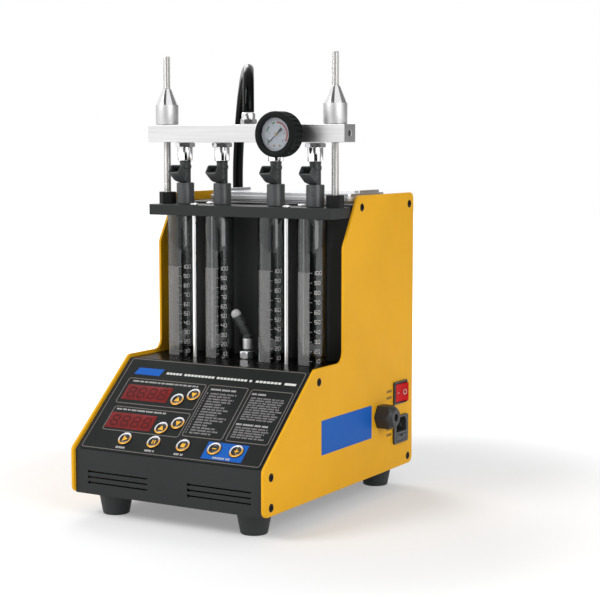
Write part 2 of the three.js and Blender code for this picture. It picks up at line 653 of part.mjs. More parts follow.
// Injectors: nozzle through the bar, stepped body, and the tilted socket for the signal plug
const INJECTOR_BASE = BAR_TOP + GAP;
const INJECTOR_TOP = INJECTOR_BASE + injector.lowerHeight + injector.neckHeight;
function injectorBody() {
  const j = injector;
  const shoulder = INJECTOR_BASE + j.lowerHeight;
  const collar = shoulder + j.collarLow;
  const bottom = INJECTOR_BASE - j.nozzleLength;
  const body = turned([
    [0, bottom], [j.nozzle - j.shoulder, bottom], [j.nozzle, bottom + j.shoulder],
    [j.nozzle, INJECTOR_BASE], [j.lower, INJECTOR_BASE],
    [j.lower, shoulder - j.shoulder], [j.lower - j.shoulder, shoulder],
    [j.neck, shoulder], [j.neck, collar], [j.collar, collar + j.shoulder],
    [j.collar, collar + j.collarHeight - j.shoulder], [j.neck, collar + j.collarHeight],
    [j.neck, INJECTOR_TOP - j.shoulder], [j.neck - j.shoulder, INJECTOR_TOP], [0, INJECTOR_TOP],
  ], MEDIUM_ROUND);
  const place = new THREE.Matrix4().makeRotationX(Math.PI / 2 - THREE.MathUtils.degToRad(j.socketRise));
  place.setPosition(0, 0, shoulder);
  const outline = roundedRectangle(j.socketWidth, j.socketHeight, j.socketWall);
  const socket = plate(outline, j.socketRoot, j.socketReach - j.socketRoot).applyMatrix4(place);
  const mouth = plate(
    roundedRectangle(j.socketWidth - j.socketWall * 2, j.socketHeight - j.socketWall * 2, 0),
    j.socketReach - j.socketDepth, j.socketDepth + CUT,
  ).applyMatrix4(place);
  const blades = SIDES.map((side) => post(
    (side * j.socketWidth) / 5, 0, j.socketReach - j.socketDepth - j.blade, j.blade, j.blade * 2,
    j.bladeLength + j.blade,
  ).applyMatrix4(place));
  return cut(join(body, socket), mouth).add(join(...blades));
}
STATIONS.forEach((x, i) => {
  piece(works, `injector_${i + 1}`, injectorBody().translate([x, STUD_LINE, 0]), GREY_PLASTIC());
});

// Drain valve: panel nut, sleeve and shank, with the lever on top
function drainValve() {
  const nutTop = LEDGE_TOP + GAP + valve.nutHeight;
  const nut = hexagon(valve.flats, LEDGE_TOP + GAP, valve.nutHeight).rotateZ(Math.PI / HEXAGON);
  const sleeve = rod(valve.sleeve, nutTop - SHEET, valve.sleeveHeight + SHEET, MEDIUM_ROUND);
  const shank = rod(valve.shank, SEAT_TOP + GAP, nutTop - SEAT_TOP - SHEET, MEDIUM_ROUND);
  return join(nut, sleeve, shank);
}
piece(works, 'drain_valve', drainValve().translate([valve.x, valve.y, 0]), CHROME());

const lever = { hub: 5.4, hubHeight: 4, grip: 5.3, reach: 12.4, rise: 23.6, heading: 222 };
function drainLever() {
  const hub = rod(lever.hub, 0, lever.hubHeight, MEDIUM_ROUND);
  const length = Math.hypot(lever.reach, lever.rise);
  const profile = [[0, 0], [lever.grip, 0], [lever.grip, length]];
  for (let step = 1; step <= FILLET_STEPS; step += 1) {
    const angle = (step / FILLET_STEPS) * (Math.PI / 2);
    profile.push([lever.grip * Math.cos(angle), length + lever.grip * Math.sin(angle)]);
  }
  profile[profile.length - 1][0] = 0;
  const grip = turned(profile, MEDIUM_ROUND).rotateY(Math.atan2(lever.reach, lever.rise));
  const below = box(-length, -length, -length, length * 2, length * 2, length);
  return cut(join(hub, grip.translate(0, 0, lever.hubHeight / 2)), below);
}
const drainLeverMesh = piece(works, 'drain_lever', drainLever(), DARK_PLASTIC());
drainLeverMesh.rotation.z = THREE.MathUtils.degToRad(lever.heading);
const leverBase = LEDGE_TOP + GAP * 2 + valve.nutHeight + valve.sleeveHeight;
drainLeverMesh.position.set(valve.x, valve.y, leverBase);

// Fuel rail assembly, which slides up the studs as one
const railWorks = new THREE.Group();
machine.add(railWorks);

const rail = { overhang: 16.8, depth: 23.6, height: 18.4, port: 3.25, portDepth: 12 };
rail.length = STUD_SPACING + rail.overhang * 2;
const cup = { flats: 18.4, hexHeight: 5.2, radius: 8.4, height: 13.9, engage: 5.8, bore: 5.8 };
const CUP_BOTTOM = INJECTOR_TOP - cup.engage;
const RAIL_BOTTOM = CUP_BOTTOM + cup.height + cup.hexHeight + GAP;
const RAIL_TOP = RAIL_BOTTOM + rail.height;
const RAIL_FRONT = STUD_LINE - rail.depth / 2;

function fuelRail() {
  const body = post(0, STUD_LINE, RAIL_BOTTOM, rail.length, rail.depth, rail.height);
  const cutters = SIDES.map((side) => rod(
    stud.radius + GAP, RAIL_BOTTOM - CUT, rail.height + CUT * 2, MEDIUM_ROUND,
  ).translate((side * STUD_SPACING) / 2, STUD_LINE, 0));
  const port = rod(rail.port, -rail.portDepth, rail.portDepth + CUT, MEDIUM_ROUND).rotateY(Math.PI / 2);
  cutters.push(port.translate(rail.length / 2, STUD_LINE, RAIL_BOTTOM + rail.height / 2));
  return cut(solid(body), ...cutters);
}
piece(railWorks, 'fuel_rail', fuelRail(), ALUMINIUM());

function injectorCup() {
  const hex = hexagon(cup.flats, RAIL_BOTTOM - GAP - cup.hexHeight, cup.hexHeight);
  const barrel = rod(cup.radius, CUP_BOTTOM, cup.height + cup.hexHeight / 2, MEDIUM_ROUND);
  const bore = rod(cup.bore, CUP_BOTTOM - CUT, cup.engage + GAP + CUT, MEDIUM_ROUND);
  return cut(join(hex, barrel), bore);
}
STATIONS.forEach((x, i) => {
  piece(railWorks, `injector_cup_${i + 1}`, injectorCup().translate([x, STUD_LINE, 0]), CHROME());
});

// Cone clamp nuts on the studs
const nut = { radius: 12.2, barrel: 21, cone: 17, tip: 4.9, edge: 0.6 };
SIDES.forEach((side, i) => {
  const base = RAIL_TOP + GAP;
  const top = base + nut.barrel + nut.cone;
  const bore = stud.radius + GAP;
  const shape = turned([
    [nut.radius - nut.edge, base], [nut.radius, base + nut.edge], [nut.radius, base + nut.barrel],
    [nut.tip, top], [bore, top], [bore, base], [nut.radius - nut.edge, base],
  ]);
  shape.translate((side * STUD_SPACING) / 2, STUD_LINE, 0);
  piece(railWorks, `clamp_nut_${SIDE_NAMES[i]}`, shape, CHROME());
});

// Pressure gauge: rubber boot, case with its stem, needle and lens, facing the front
const gauge = {
  offset: 0.2, drop: 1.1, reach: 43.3, bootRadius: 23.2, bootDepth: 20, lip: 16.8, lipDepth: 2.4,
  teeth: 26, tooth: 1.9, ringDepth: 4.5, chamfer: 1.3, case: 19.6, caseDepth: 15, dialDepth: 3, rimWidth: 1.4,
  stem: 5.5, stemFlats: 14, needle: 13, needleTail: 6, needleWidth: 1.2, needleThickness: 0.5,
  hub: 2, lensThickness: 1.2, backHole: 12,
};
gauge.front = STUD_LINE - gauge.reach;
const GAUGE_Z = RAIL_BOTTOM + rail.height / 2 - gauge.drop;
const dial = new THREE.Group();
dial.rotation.x = Math.PI / 2;
dial.position.set(PAIR_MIDDLE + gauge.offset, gauge.front, GAUGE_Z);
railWorks.add(dial);

// The gauge's own axis runs out of its face, so depths behind the front are negative
function gaugeBoot() {
  const outline = [];
  for (let i = 0; i < gauge.teeth * 4; i += 1) {
    const angle = (i / (gauge.teeth * 4)) * Math.PI * 2;
    const low = i % 4 > 1;
    const radius = gauge.bootRadius - (low ? gauge.tooth : 0);
    outline.push(v2(radius * Math.cos(angle), radius * Math.sin(angle)));
  }
  const ribbed = plate(outline, -gauge.bootDepth, gauge.bootDepth - gauge.ringDepth + gauge.tooth);
  const ring = turned([
    [0, -gauge.ringDepth], [gauge.bootRadius, -gauge.ringDepth], [gauge.bootRadius, -gauge.chamfer],
    [gauge.bootRadius - gauge.chamfer, 0], [0, 0],
  ], gauge.teeth);
  const mouth = rod(gauge.lip, -gauge.lipDepth - CUT, gauge.lipDepth + CUT * 2);
  const pocket = rod(gauge.case + GAP, -gauge.lipDepth - gauge.caseDepth, gauge.caseDepth);
  const back = rod(gauge.backHole, -gauge.bootDepth - CUT, gauge.bootDepth);
  return cut(join(ribbed, ring), mouth, pocket, back);
}
piece(dial, 'gauge_boot', gaugeBoot(), RUBBER());

function gaugeCase() {
  const back = -gauge.lipDepth - gauge.caseDepth + GAP;
  const can = rod(gauge.case, back, gauge.caseDepth - GAP * 2);
  const face = -gauge.lipDepth - gauge.lensThickness - gauge.dialDepth;
  const hollow = rod(gauge.case - gauge.rimWidth, face, gauge.dialDepth + CUT + gauge.lensThickness);
  const pin = rod(gauge.hub / 2, face - gauge.rimWidth, gauge.rimWidth + gauge.dialDepth / 3, SMALL_ROUND);
  const reach = RAIL_FRONT - gauge.front - GAP;
  const stem = rod(gauge.stem, -reach, reach + back + gauge.rimWidth, MEDIUM_ROUND);
  const hex = hexagon(gauge.stemFlats, -reach, reach + back - gauge.rimWidth);
  return cut(join(can), hollow).add(join(pin)).add(join(stem, hex));
}
piece(dial, 'gauge_case', gaugeCase(), DARK_PLASTIC());

const dialFace = -gauge.lipDepth - gauge.lensThickness - gauge.dialDepth;
function gaugeNeedle() {
  const under = dialFace + gauge.dialDepth / 3 + GAP;
  const taper = [
    v2(-gauge.needleTail, -gauge.needleWidth), v2(0, -gauge.needleWidth),
    v2(gauge.needle, -gauge.needleWidth / 4), v2(gauge.needle, gauge.needleWidth / 4),
    v2(0, gauge.needleWidth), v2(-gauge.needleTail, gauge.needleWidth),
  ];
  const hand = plate(taper, under, gauge.needleThickness);
  const hub = rod(gauge.hub, under, gauge.dialDepth / 3, SMALL_ROUND);
  return join(hand, hub);
}
const needleMesh = piece(dial, 'gauge_needle', gaugeNeedle(), DARK_PLASTIC());
needleMesh.rotation.z = THREE.MathUtils.degToRad(225);
const lensBack = -gauge.lipDepth - gauge.lensThickness - GAP;
const lens = rod(gauge.case - gauge.rimWidth - GAP, lensBack, gauge.lensThickness);
piece(dial, 'gauge_lens', lens, GLASS());

// Hose fitting on the rail, and the hose that loops from it down to the boss in the deck
const fitting = { flats: 15, hexHeight: 5.6, ferrule: 7.3, ferruleHeight: 6.5 };
const FITTING_TOP = RAIL_TOP + GAP + fitting.hexHeight + fitting.ferruleHeight;
function hoseFitting() {
  const hex = hexagon(fitting.flats, RAIL_TOP + GAP, fitting.hexHeight);
  const barrel = rod(
    fitting.ferrule, RAIL_TOP + GAP + fitting.hexHeight / 2,
    fitting.hexHeight / 2 + fitting.ferruleHeight, MEDIUM_ROUND,
  );
  return join(hex, barrel).translate([0, STUD_LINE, 0]);
}
piece(railWorks, 'hose_fitting', hoseFitting(), CHROME());

const hose = { radius: 5.9, sides: 8, steps: 28 };
const hoseRoute = [
  [0, STUD_LINE, FITTING_TOP + GAP], [0, STUD_LINE, 392], [-0.9, 159.3, 397.9], [-3.3, 163.1, 409],
  [-7.2, 169.3, 418.5], [-12.3, 177.3, 425.8], [-18.2, 186.7, 430.4], [-24.6, 196.8, 432],
  [-34.2, 209.4, 430.9], [-44.4, 223.2, 427.4], [-54, 235.8, 421.7], [-63, 247.7, 413.9],
  [-71.7, 258.8, 404], [-79.5, 268.8, 392.5], [-86.5, 277.5, 379.2], [-92.6, 284.9, 364.5],
  [-97.5, 290.9, 348.6], [-101.1, 295.1, 331.9], [-103.2, 297.8, 314.5],
  [hoseBoss.x, hoseBoss.y, 303], [hoseBoss.x, hoseBoss.y, DECK_TOP + hoseBoss.height + GAP],
];
const hosePath = new THREE.CatmullRomCurve3(hoseRoute.map((p) => new THREE.Vector3(...p)));
const hoseSection = new THREE.Shape(circleOutline(hose.radius, 0, 0, hose.sides));
const hoseTube = new THREE.ExtrudeGeometry(hoseSection, { steps: hose.steps, extrudePath: hosePath });
piece(machine, 'hose', hoseTube, RUBBER());

// Right side: rocker switch, mains inlet with its fuse drawer, signal socket
const sideWorks = new THREE.Group();
machine.add(sideWorks);
const FACE = WIDTH / 2;

function rockerFrame() {
  const inner = [rocker.length - rocker.wall * 2, rocker.height - rocker.wall * 2];
  const bezel = acrossX(
    centredOutline(rocker.length, rocker.height, rocker.y, rocker.z, 1), FACE + GAP, rocker.proud - GAP,
  );
  const bodyLength = rocker.length - rocker.wall - GAP * 2;
  const bodyHeight = rocker.height - rocker.wall - GAP * 2;
  const body = acrossX(
    centredOutline(bodyLength, bodyHeight, rocker.y, rocker.z, 0),
    FACE - rocker.bodyDepth, rocker.bodyDepth + rocker.proud / 2,
  );
  const hollow = acrossX(
    centredOutline(...inner, rocker.y, rocker.z, 0),
    FACE - rocker.bodyDepth + rocker.wall, rocker.bodyDepth + CUT,
  );
  const pivots = rod(
    rocker.pin + GAP, (rocker.wall - rocker.height) / 2, rocker.height - rocker.wall, SMALL_ROUND,
  );
  pivots.translate(FACE - rocker.pivotInset, rocker.y, rocker.z);
  return cut(join(bezel, body), hollow, pivots);
}
piece(sideWorks, 'rocker_frame', rockerFrame(), DARK_PLASTIC());

function rockerKey() {
  const width = rocker.height - rocker.wall * 2 - GAP * 2;
  const outline = [
    v2(rocker.face, rocker.reach), v2(0, rocker.reach - rocker.wall),
    v2(-rocker.tail, rocker.reach / 3), v2(-rocker.tail, -rocker.reach / 3),
    v2(0, rocker.wall - rocker.reach), v2(rocker.face, -rocker.reach), v2(rocker.dip, 0),
  ];
  const key = plate(outline, -width / 2, width);
  const pin = rod(rocker.pin, -width / 2 - rocker.wall / 2, width + rocker.wall, SMALL_ROUND);
  return join(key, pin);
}
const rockerMesh = piece(sideWorks, 'rocker_key', rockerKey(), RED());
rockerMesh.rotation.z = THREE.MathUtils.degToRad(-rocker.tilt);
rockerMesh.position.set(FACE - rocker.pivotInset, rocker.y, rocker.z);

function mainsInlet() {
  const plateShape = acrossX(
    centredOutline(inlet.width, inlet.height, inlet.y, inlet.z, inlet.corner),
    FACE + GAP, inlet.proud - GAP,
  );
  const body = acrossX(
    centredOutline(inlet.bodyWidth, inlet.bodyHeight, inlet.y, inlet.z, 0),
    FACE - inlet.bodyDepth, inlet.bodyDepth + inlet.proud / 2,
  );
  const [w, h] = [inlet.socketWidth / 2, inlet.socketHeight / 2];
  const slant = h / 2;
  const middle = inlet.z + inlet.socketLift;
  const recess = [
    v2(-w, h - slant), v2(-w, -h), v2(w, -h), v2(w, h - slant), v2(w - slant, h), v2(slant - w, h),
  ].map((p) => p.add(v2(inlet.y, middle)));
  const floor = FACE + inlet.proud - inlet.socketDepth;
  const socket = acrossX(recess, floor, inlet.socketDepth + CUT);
  const drawer = acrossX(
    centredOutline(
      inlet.drawerWidth + GAP * 2, inlet.drawerHeight + GAP * 2, inlet.y, inlet.z - inlet.drawerDrop, 0,
    ),
    FACE + inlet.proud - inlet.drawerDepth - GAP, inlet.drawerDepth + CUT,
  );
  let shape = cut(join(plateShape, body), socket, drawer);
  [-1, 0, 1].forEach((place) => {
    const z = middle - inlet.bladeHeight / 2 + (place === 0 ? inlet.bladeStep / 2 : -inlet.bladeStep / 2);
    const blade = box(
      floor - SHEET, inlet.y + place * inlet.bladeSpacing - inlet.bladeWidth / 2, z,
      inlet.bladeLength + SHEET, inlet.bladeWidth, inlet.bladeHeight,
    );
    shape = shape.add(solid(blade));
  });
  return shape;
}
piece(sideWorks, 'mains_inlet', mainsInlet(), DARK_PLASTIC());

function fuseDrawer() {
  const tray = acrossX(
    centredOutline(inlet.drawerWidth, inlet.drawerHeight, inlet.y, inlet.z - inlet.drawerDrop, 0),
    FACE + inlet.proud - inlet.drawerDepth, inlet.drawerDepth,
  );
  const notchDepth = inlet.drawerHeight / 4;
  const notch = post(
    FACE + inlet.proud, inlet.y, inlet.z - inlet.drawerDrop + notchDepth,
    notchDepth * 2, inlet.drawerWidth / 3, inlet.drawerHeight,
  );
  return cut(join(tray), notch);
}
piece(sideWorks, 'fuse_drawer', fuseDrawer(), DARK_PLASTIC());

function signalSocket() {
  const mouth = signal.prism + signal.nose;
  const prism = hexagon(signal.acrossFlats, GAP, signal.prism);
  const corner = signal.acrossFlats / 2 / Math.cos(Math.PI / 6);
  const nose = turned([
    [0, signal.prism / 2], [corner * 0.94, signal.prism / 2], [corner * 0.94, signal.prism],
    [signal.noseRadius, mouth], [0, mouth],
  ]);
  const clipBack = -PANEL - GAP - signal.nutDepth;
  const shank = rod(signal.shank, clipBack, signal.prism / 2 - clipBack, MEDIUM_ROUND);
  const clip = hexagon(signal.nut * 2, clipBack, signal.nutDepth);
  const bore = rod(signal.bore, mouth - signal.boreDepth, signal.boreDepth + CUT, MEDIUM_ROUND);
  return cut(join(prism, nose, shank, clip), bore);
}
const signalMesh = piece(sideWorks, 'signal_socket', signalSocket(), DARK_PLASTIC());
signalMesh.rotation.y = Math.PI / 2;
signalMesh.position.set(FACE, signal.y, signal.z);

// What the cabinet holds inside
const inside = new THREE.Group();
machine.add(inside);
const tank = {
  sideMargin: 7.7, middleMargin: 12, frontMargin: 10.4, backMargin: 10.4, clearance: 8.4,
  corner: 8, neck: 24, neckHeight: 4,
};
const pump = { radius: 19, height: 78, cap: 13, capHeight: 6, outlet: 4, outletHeight: 9 };
const supply = {
  left: 2, sideMargin: 25.7, frontMargin: 16.4, backMargin: 20.4, height: 38, terminal: 8,
};
const FLOOR = SHEET + GAP;
tank.width = SHELL_HALF - tank.sideMargin - tank.middleMargin;
tank.depth = DEPTH - tank.backMargin - WALL_LINE - tank.frontMargin;
tank.height = BATH_BOTTOM - bath.transducerHeight - tank.clearance - pump.outletHeight
  - pump.capHeight - pump.height - GAP - tank.neckHeight - FLOOR;
const tankX = -tank.middleMargin - tank.width / 2;
const tankY = DEPTH - tank.backMargin - tank.depth / 2;
supply.width = SHELL_HALF - supply.sideMargin - supply.left;
supply.front = WALL_LINE + supply.frontMargin;
supply.depth = DEPTH - supply.backMargin - supply.front;

const tankBody = plate(roundedRectangle(tank.width, tank.depth, tank.corner), FLOOR, tank.height);
const tankNeck = rod(tank.neck, FLOOR + tank.height - tank.neckHeight, tank.neckHeight * 2);
piece(inside, 'fluid_tank', join(tankBody, tankNeck).translate([tankX, tankY, 0]), STEEL());

const PUMP_BASE = FLOOR + tank.height + tank.neckHeight + GAP;
const pumpBody = turned([
  [0, PUMP_BASE], [pump.radius, PUMP_BASE], [pump.radius, PUMP_BASE + pump.height],
  [pump.cap, PUMP_BASE + pump.height + pump.capHeight],
  [pump.outlet, PUMP_BASE + pump.height + pump.capHeight],
  [pump.outlet, PUMP_BASE + pump.height + pump.capHeight + pump.outletHeight],
  [0, PUMP_BASE + pump.height + pump.capHeight + pump.outletHeight],
]);
piece(inside, 'fuel_pump', pumpBody.translate(tankX, tankY, 0), STEEL());

const supplyBody = box(supply.left, supply.front, FLOOR, supply.width, supply.depth, supply.height);
const supplyTerminal = box(
  supply.left, supply.front - supply.terminal, FLOOR, supply.width, supply.terminal * 2, supply.height / 2,
);
piece(inside, 'power_supply', join(supplyBody, supplyTerminal), ALUMINIUM());

// The origin is on the surface under the feet, below the middle of everything
const reachRight = FACE + signal.prism + signal.nose;
const reachLeft = rail.length / 2;
machine.position.set(-(reachRight - reachLeft) / 2, -DEPTH / 2, FOOT_HEIGHT);
machine.updateMatrixWorld(true);

export default machine;
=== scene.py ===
import json
import math

import bmesh
import bpy
import numpy as np
from mathutils import Euler, Matrix, Vector


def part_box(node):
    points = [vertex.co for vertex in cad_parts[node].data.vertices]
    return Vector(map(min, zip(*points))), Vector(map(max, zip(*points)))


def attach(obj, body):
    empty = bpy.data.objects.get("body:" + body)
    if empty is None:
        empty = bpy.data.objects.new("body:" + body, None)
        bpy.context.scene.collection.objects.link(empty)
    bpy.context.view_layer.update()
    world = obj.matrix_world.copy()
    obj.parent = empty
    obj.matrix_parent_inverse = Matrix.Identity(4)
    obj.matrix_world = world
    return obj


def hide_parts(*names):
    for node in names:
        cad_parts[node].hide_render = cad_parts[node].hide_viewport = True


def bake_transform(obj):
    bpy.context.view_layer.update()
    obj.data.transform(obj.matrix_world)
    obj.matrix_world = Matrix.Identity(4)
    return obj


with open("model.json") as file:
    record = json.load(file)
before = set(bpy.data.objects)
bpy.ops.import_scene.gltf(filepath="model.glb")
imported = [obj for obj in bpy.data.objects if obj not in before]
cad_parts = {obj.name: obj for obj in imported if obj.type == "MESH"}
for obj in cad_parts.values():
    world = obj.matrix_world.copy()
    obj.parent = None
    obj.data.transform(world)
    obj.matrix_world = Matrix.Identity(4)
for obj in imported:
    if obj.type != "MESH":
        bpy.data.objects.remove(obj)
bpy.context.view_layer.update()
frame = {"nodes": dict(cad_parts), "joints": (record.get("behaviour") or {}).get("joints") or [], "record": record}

# Millimetres to metres
MM = 0.001
NODES = frame["nodes"]
BODY_OF = {n: b for b, ns in frame["record"]["behaviour"]["bodies"].items() for n in ns}


def low(node):
    """Lowest corner of a node in millimetres."""
    return np.array(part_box(node)[0]) / MM


def high(node):
    """Highest corner of a node in millimetres."""
    return np.array(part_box(node)[1]) / MM


def middle(node):
    """Centre of a node's box in millimetres."""
    return (low(node) + high(node)) / 2


# Camera at the photograph's viewing angle
CAMERA_PLACE = (873.95, -1395.3, 382.2)
CAMERA_TURN = (84.14, 0.0, 30.4)
FOCAL_LENGTH = 94.24
SENSOR = 36.0


def make_camera():
    """A long lens at the photograph's viewing angle."""
    camera = bpy.data.objects.new("camera", bpy.data.cameras.new("camera"))
    bpy.context.scene.collection.objects.link(camera)
    camera.data.lens = FOCAL_LENGTH
    camera.data.sensor_width = SENSOR
    camera.data.clip_end = 20.0
    camera.location = Vector(CAMERA_PLACE) * MM
    camera.rotation_euler = Euler([math.radians(a) for a in CAMERA_TURN])
    bpy.context.scene.camera = camera


make_camera()


# Making meshes: sides of a turned shape, points of a rounded corner, and a nut's turned edge
FINE_ROUND, MEDIUM_ROUND, SMALL_ROUND = 96, 64, 48
CORNER_STEPS = 6
NUT_CROWN = 0.97
NUT_CHAMFER = 0.8
WELD_GAP = 1e-6


def grid_faces(rows, columns, wrap_rows=False, wrap_columns=False):
    """Quads between neighbours of a grid of rows by columns, closed round where it wraps."""
    r = np.arange(rows if wrap_rows else rows - 1)
    c = np.arange(columns if wrap_columns else columns - 1)
    row, column = np.meshgrid(r, c, indexing="ij")
    below, beside = (row + 1) % rows, (column + 1) % columns
    corners = [
        row * columns + column, below * columns + column, below * columns + beside,
        row * columns + beside,
    ]
    return np.stack(corners, -1).reshape(-1, 4)


def put_in_scene(name, mesh, finish):
    """An object at the origin, with its place in its mesh, in one finish."""
    piece = bpy.data.objects.new(name, mesh)
    bpy.context.scene.collection.objects.link(piece)
    mesh.materials.clear()
    mesh.materials.append(finish)
    return piece


def weld(mesh, smooth):
    """Closes a mesh, turns its faces outwards and smooths its edges below an angle."""
    work = bmesh.new()
    work.from_mesh(mesh)
    bmesh.ops.remove_doubles(work, verts=work.verts, dist=WELD_GAP)
    bmesh.ops.dissolve_degenerate(work, edges=work.edges, dist=WELD_GAP / 10)
    bmesh.ops.recalc_face_normals(work, faces=work.faces)
    for face in work.faces:
        face.smooth = True
    limit = math.radians(smooth)
    for edge in work.edges:
        if len(edge.link_faces) == 2:
            edge.smooth = edge.calc_face_angle(0.0) < limit
    work.to_mesh(mesh)
    work.free()


def new_piece(name, shell, finish, body, replaces=(), smooth=30.0):
    """A welded mesh from a shell's points in millimetres and its faces, which rides on a body."""
    points, faces = shell
    mesh = bpy.data.meshes.new(name)
    mesh.from_pydata((np.asarray(points, float) * MM).tolist(), [], [list(f) for f in faces])
    weld(mesh, smooth)
    piece = put_in_scene(name, mesh, finish)
    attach(piece, body)
    if replaces:
        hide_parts(*replaces)
    return piece


def stand_in(name, shell, finish, node, smooth=30.0):
    """A new piece in a node's place, on its body, with the node hidden."""
    return new_piece(name, shell, finish, BODY_OF[node], [node], smooth)


def addition(name, shell, finish, node, smooth=30.0):
    """A new piece that belongs to a node and rides with it."""
    return new_piece(name, shell, finish, BODY_OF[node], (), smooth)


def joined(parts):
    """Several (points, faces) shells as one."""
    points, faces, start = [], [], 0
    for shell_points, shell_faces in parts:
        points.append(np.asarray(shell_points, float).reshape(-1, 3))
        faces.extend([[i + start for i in face] for face in shell_faces])
        start += len(points[-1])
    return np.concatenate(points), faces


def revolve(profile, flats=SMALL_ROUND, ripple=None):
    """x = r cos(a), y = r sin(a), z = h for each profile point (r, h) and angle a."""
    profile = np.asarray(profile, float)
    angle = np.linspace(0, 2 * math.pi, flats, endpoint=False)
    radius = profile[:, None, 0] * np.ones(flats)
    height = profile[:, None, 1] * np.ones(flats)
    if ripple is not None:
        radius = radius + ripple(angle[None, :], profile[:, None, 1], profile[:, None, 0])
    points = np.stack([radius * np.cos(angle), radius * np.sin(angle), height], -1)
    return points.reshape(-1, 3), grid_faces(len(profile), flats, wrap_columns=True).tolist()


def hexed(width, first=0.0):
    """Draws a circle in to a hexagon: r = the least of r and half the width across flats over
    the cosine of the angle to the nearest flat, where one flat faces the first angle."""
    def draw_in(angle, height, r):
        away = (angle - math.radians(first) + math.pi / 6) % (math.pi / 3) - math.pi / 6
        return np.minimum(0.0, width / 2 / np.cos(away) - r)

    return draw_in


def hexagon_nut(width, bottom, top, first=0.0):
    """A hexagon whose corners are turned off at both ends: r rises in a straight line from just
    under half the width across flats to the reach of a corner."""
    flat, corner = width / 2 * NUT_CROWN, width / 2 / math.cos(math.pi / 6)
    step = np.linspace(0, 1, 5)
    rise = np.column_stack([flat + (corner - flat) * step, bottom + NUT_CHAMFER * step])
    fall = np.column_stack([rise[::-1, 0], top + bottom - rise[::-1, 1]])
    profile = np.vstack([[(0, bottom)], rise, fall, [(0, top)]])
    return revolve(profile, FINE_ROUND, hexed(width, first))


def rounded_rectangle(width, depth, radius):
    """Corners of a rectangle, each a quarter circle of the given radius."""
    radius = max(radius, 1e-4)
    turn = np.linspace(0, math.pi / 2, CORNER_STEPS)
    points = []
    for i, side in enumerate([(1, 1), (-1, 1), (-1, -1), (1, -1)]):
        centre = np.array(side) * (np.array([width, depth]) / 2 - radius)
        a = turn + i * math.pi / 2
        points.append(centre + radius * np.stack([np.cos(a), np.sin(a)], -1))
    return np.concatenate(points)


def slab(width, depth, radius, levels):
    """A rounded rectangle carried through levels (inset, height) and closed at both ends:
    at each level the outline is drawn in by the inset, and the first and last meet a middle."""
    rings = []
    for inset, height in levels:
        flat = rounded_rectangle(width - 2 * inset, depth - 2 * inset, max(radius - inset, 0))
        rings.append(np.column_stack([flat, np.full(len(flat), height)]))
    first, last = [np.column_stack([np.zeros((len(r), 2)), r[:, 2]]) for r in (rings[0], rings[-1])]
    points = np.stack([first, *rings, last])
    faces = grid_faces(*points.shape[:2], wrap_columns=True)
    return points.reshape(-1, 3), faces.tolist()


def soft_levels(bottom, top, edge):
    """Levels of a slab whose two edges are quarter rounds of the given radius."""
    a = np.linspace(0, math.pi / 2, 4)
    rise = np.column_stack([edge * (1 - np.sin(a)), bottom + edge * (1 - np.cos(a))])
    fall = np.column_stack([edge * (1 - np.cos(a)), top - edge * (1 - np.sin(a))])
    return np.vstack([rise, fall])


def sweep(path, radius, sides):
    """A circle carried along a path, turned the least from point to point, closed at the ends."""
    path = np.asarray(path, float)
    tangent = np.gradient(path, axis=0)
    tangent /= np.linalg.norm(tangent, axis=1)[:, None]
    side = np.cross(tangent[0], [0.0, 1.0, 0.0])
    side /= np.linalg.norm(side)
    turned = []
    for t in tangent:
        side = side - t * side.dot(t)
        side /= np.linalg.norm(side)
        turned.append(side)
    sideways = np.array(turned)
    other = np.cross(tangent, sideways)
    angle = np.linspace(0, 2 * math.pi, sides, endpoint=False)
    circle = (np.cos(angle)[None, :, None] * sideways[:, None]
              + np.sin(angle)[None, :, None] * other[:, None])
    rings = path[:, None] + radius * circle
    start, end = [p * np.ones((1, sides, 1)) for p in (path[:1, None], path[-1:, None])]
    rings = np.concatenate([start, rings, end])
    return rings.reshape(-1, 3), grid_faces(len(rings), sides, wrap_columns=True).tolist()


def placed(shell, at=(0, 0, 0), turn=None):
    """A shell turned by a matrix and moved to a place."""
    points, faces = shell
    points = np.asarray(points, float)
    if turn is not None:
        points = points @ np.array(turn.to_3x3()).T
    return points + np.asarray(at, float), faces


def prism(outline, thickness):
    """A flat convex outline raised by a thickness."""
    n = len(outline)
    points = np.concatenate([np.column_stack([outline, np.full(n, z)]) for z in (0.0, thickness)])
    faces = [list(range(n))[::-1], list(range(n, 2 * n))]
    faces += [[i, (i + 1) % n, n + (i + 1) % n, n + i] for i in range(n)]
    return points, faces


def bar_shape(start, end, width, thickness):
    """A prism on a rectangle: half the width to each side of the line from start to end."""
    start, end = np.asarray(start, float), np.asarray(end, float)
    along = (end - start) / np.linalg.norm(end - start)
    side = np.array([-along[1], along[0]]) * width / 2
    return prism([start - side, end - side, end + side, start + side], thickness)


def capped_strip(rows):
    """A section of four corners carried through the rows of a grid and closed at both ends."""
    last = 4 * len(rows)
    faces = grid_faces(len(rows), 4, wrap_columns=True).tolist()
    faces += [[3, 2, 1, 0], [last - 4, last - 3, last - 2, last - 1]]
    return rows.reshape(-1, 3), faces


def divided(profile, chosen, steps):
    """A profile whose chosen stretches are split into equal steps."""
    fine = []
    for start, end in zip(profile, profile[1:]):
        count = steps if chosen(start, end) else 1
        share = np.arange(count)[:, None] / count
        fine.append(np.array(start) + (np.array(end) - np.array(start)) * share)
    return np.vstack([*fine, profile[-1]])


def on_axis(node):
    """Where a node's upright axis meets the floor."""
    return (*middle(node)[:2], 0)


def turn_about(axis, degrees):
    """A turn about an axis by an angle in degrees."""
    return Matrix.Rotation(math.radians(degrees), 4, axis)


def across(axis, *nodes):
    """Cuts square to an axis through the middles of nodes."""
    return [(axis, middle(n)["xyz".index(axis)]) for n in nodes]


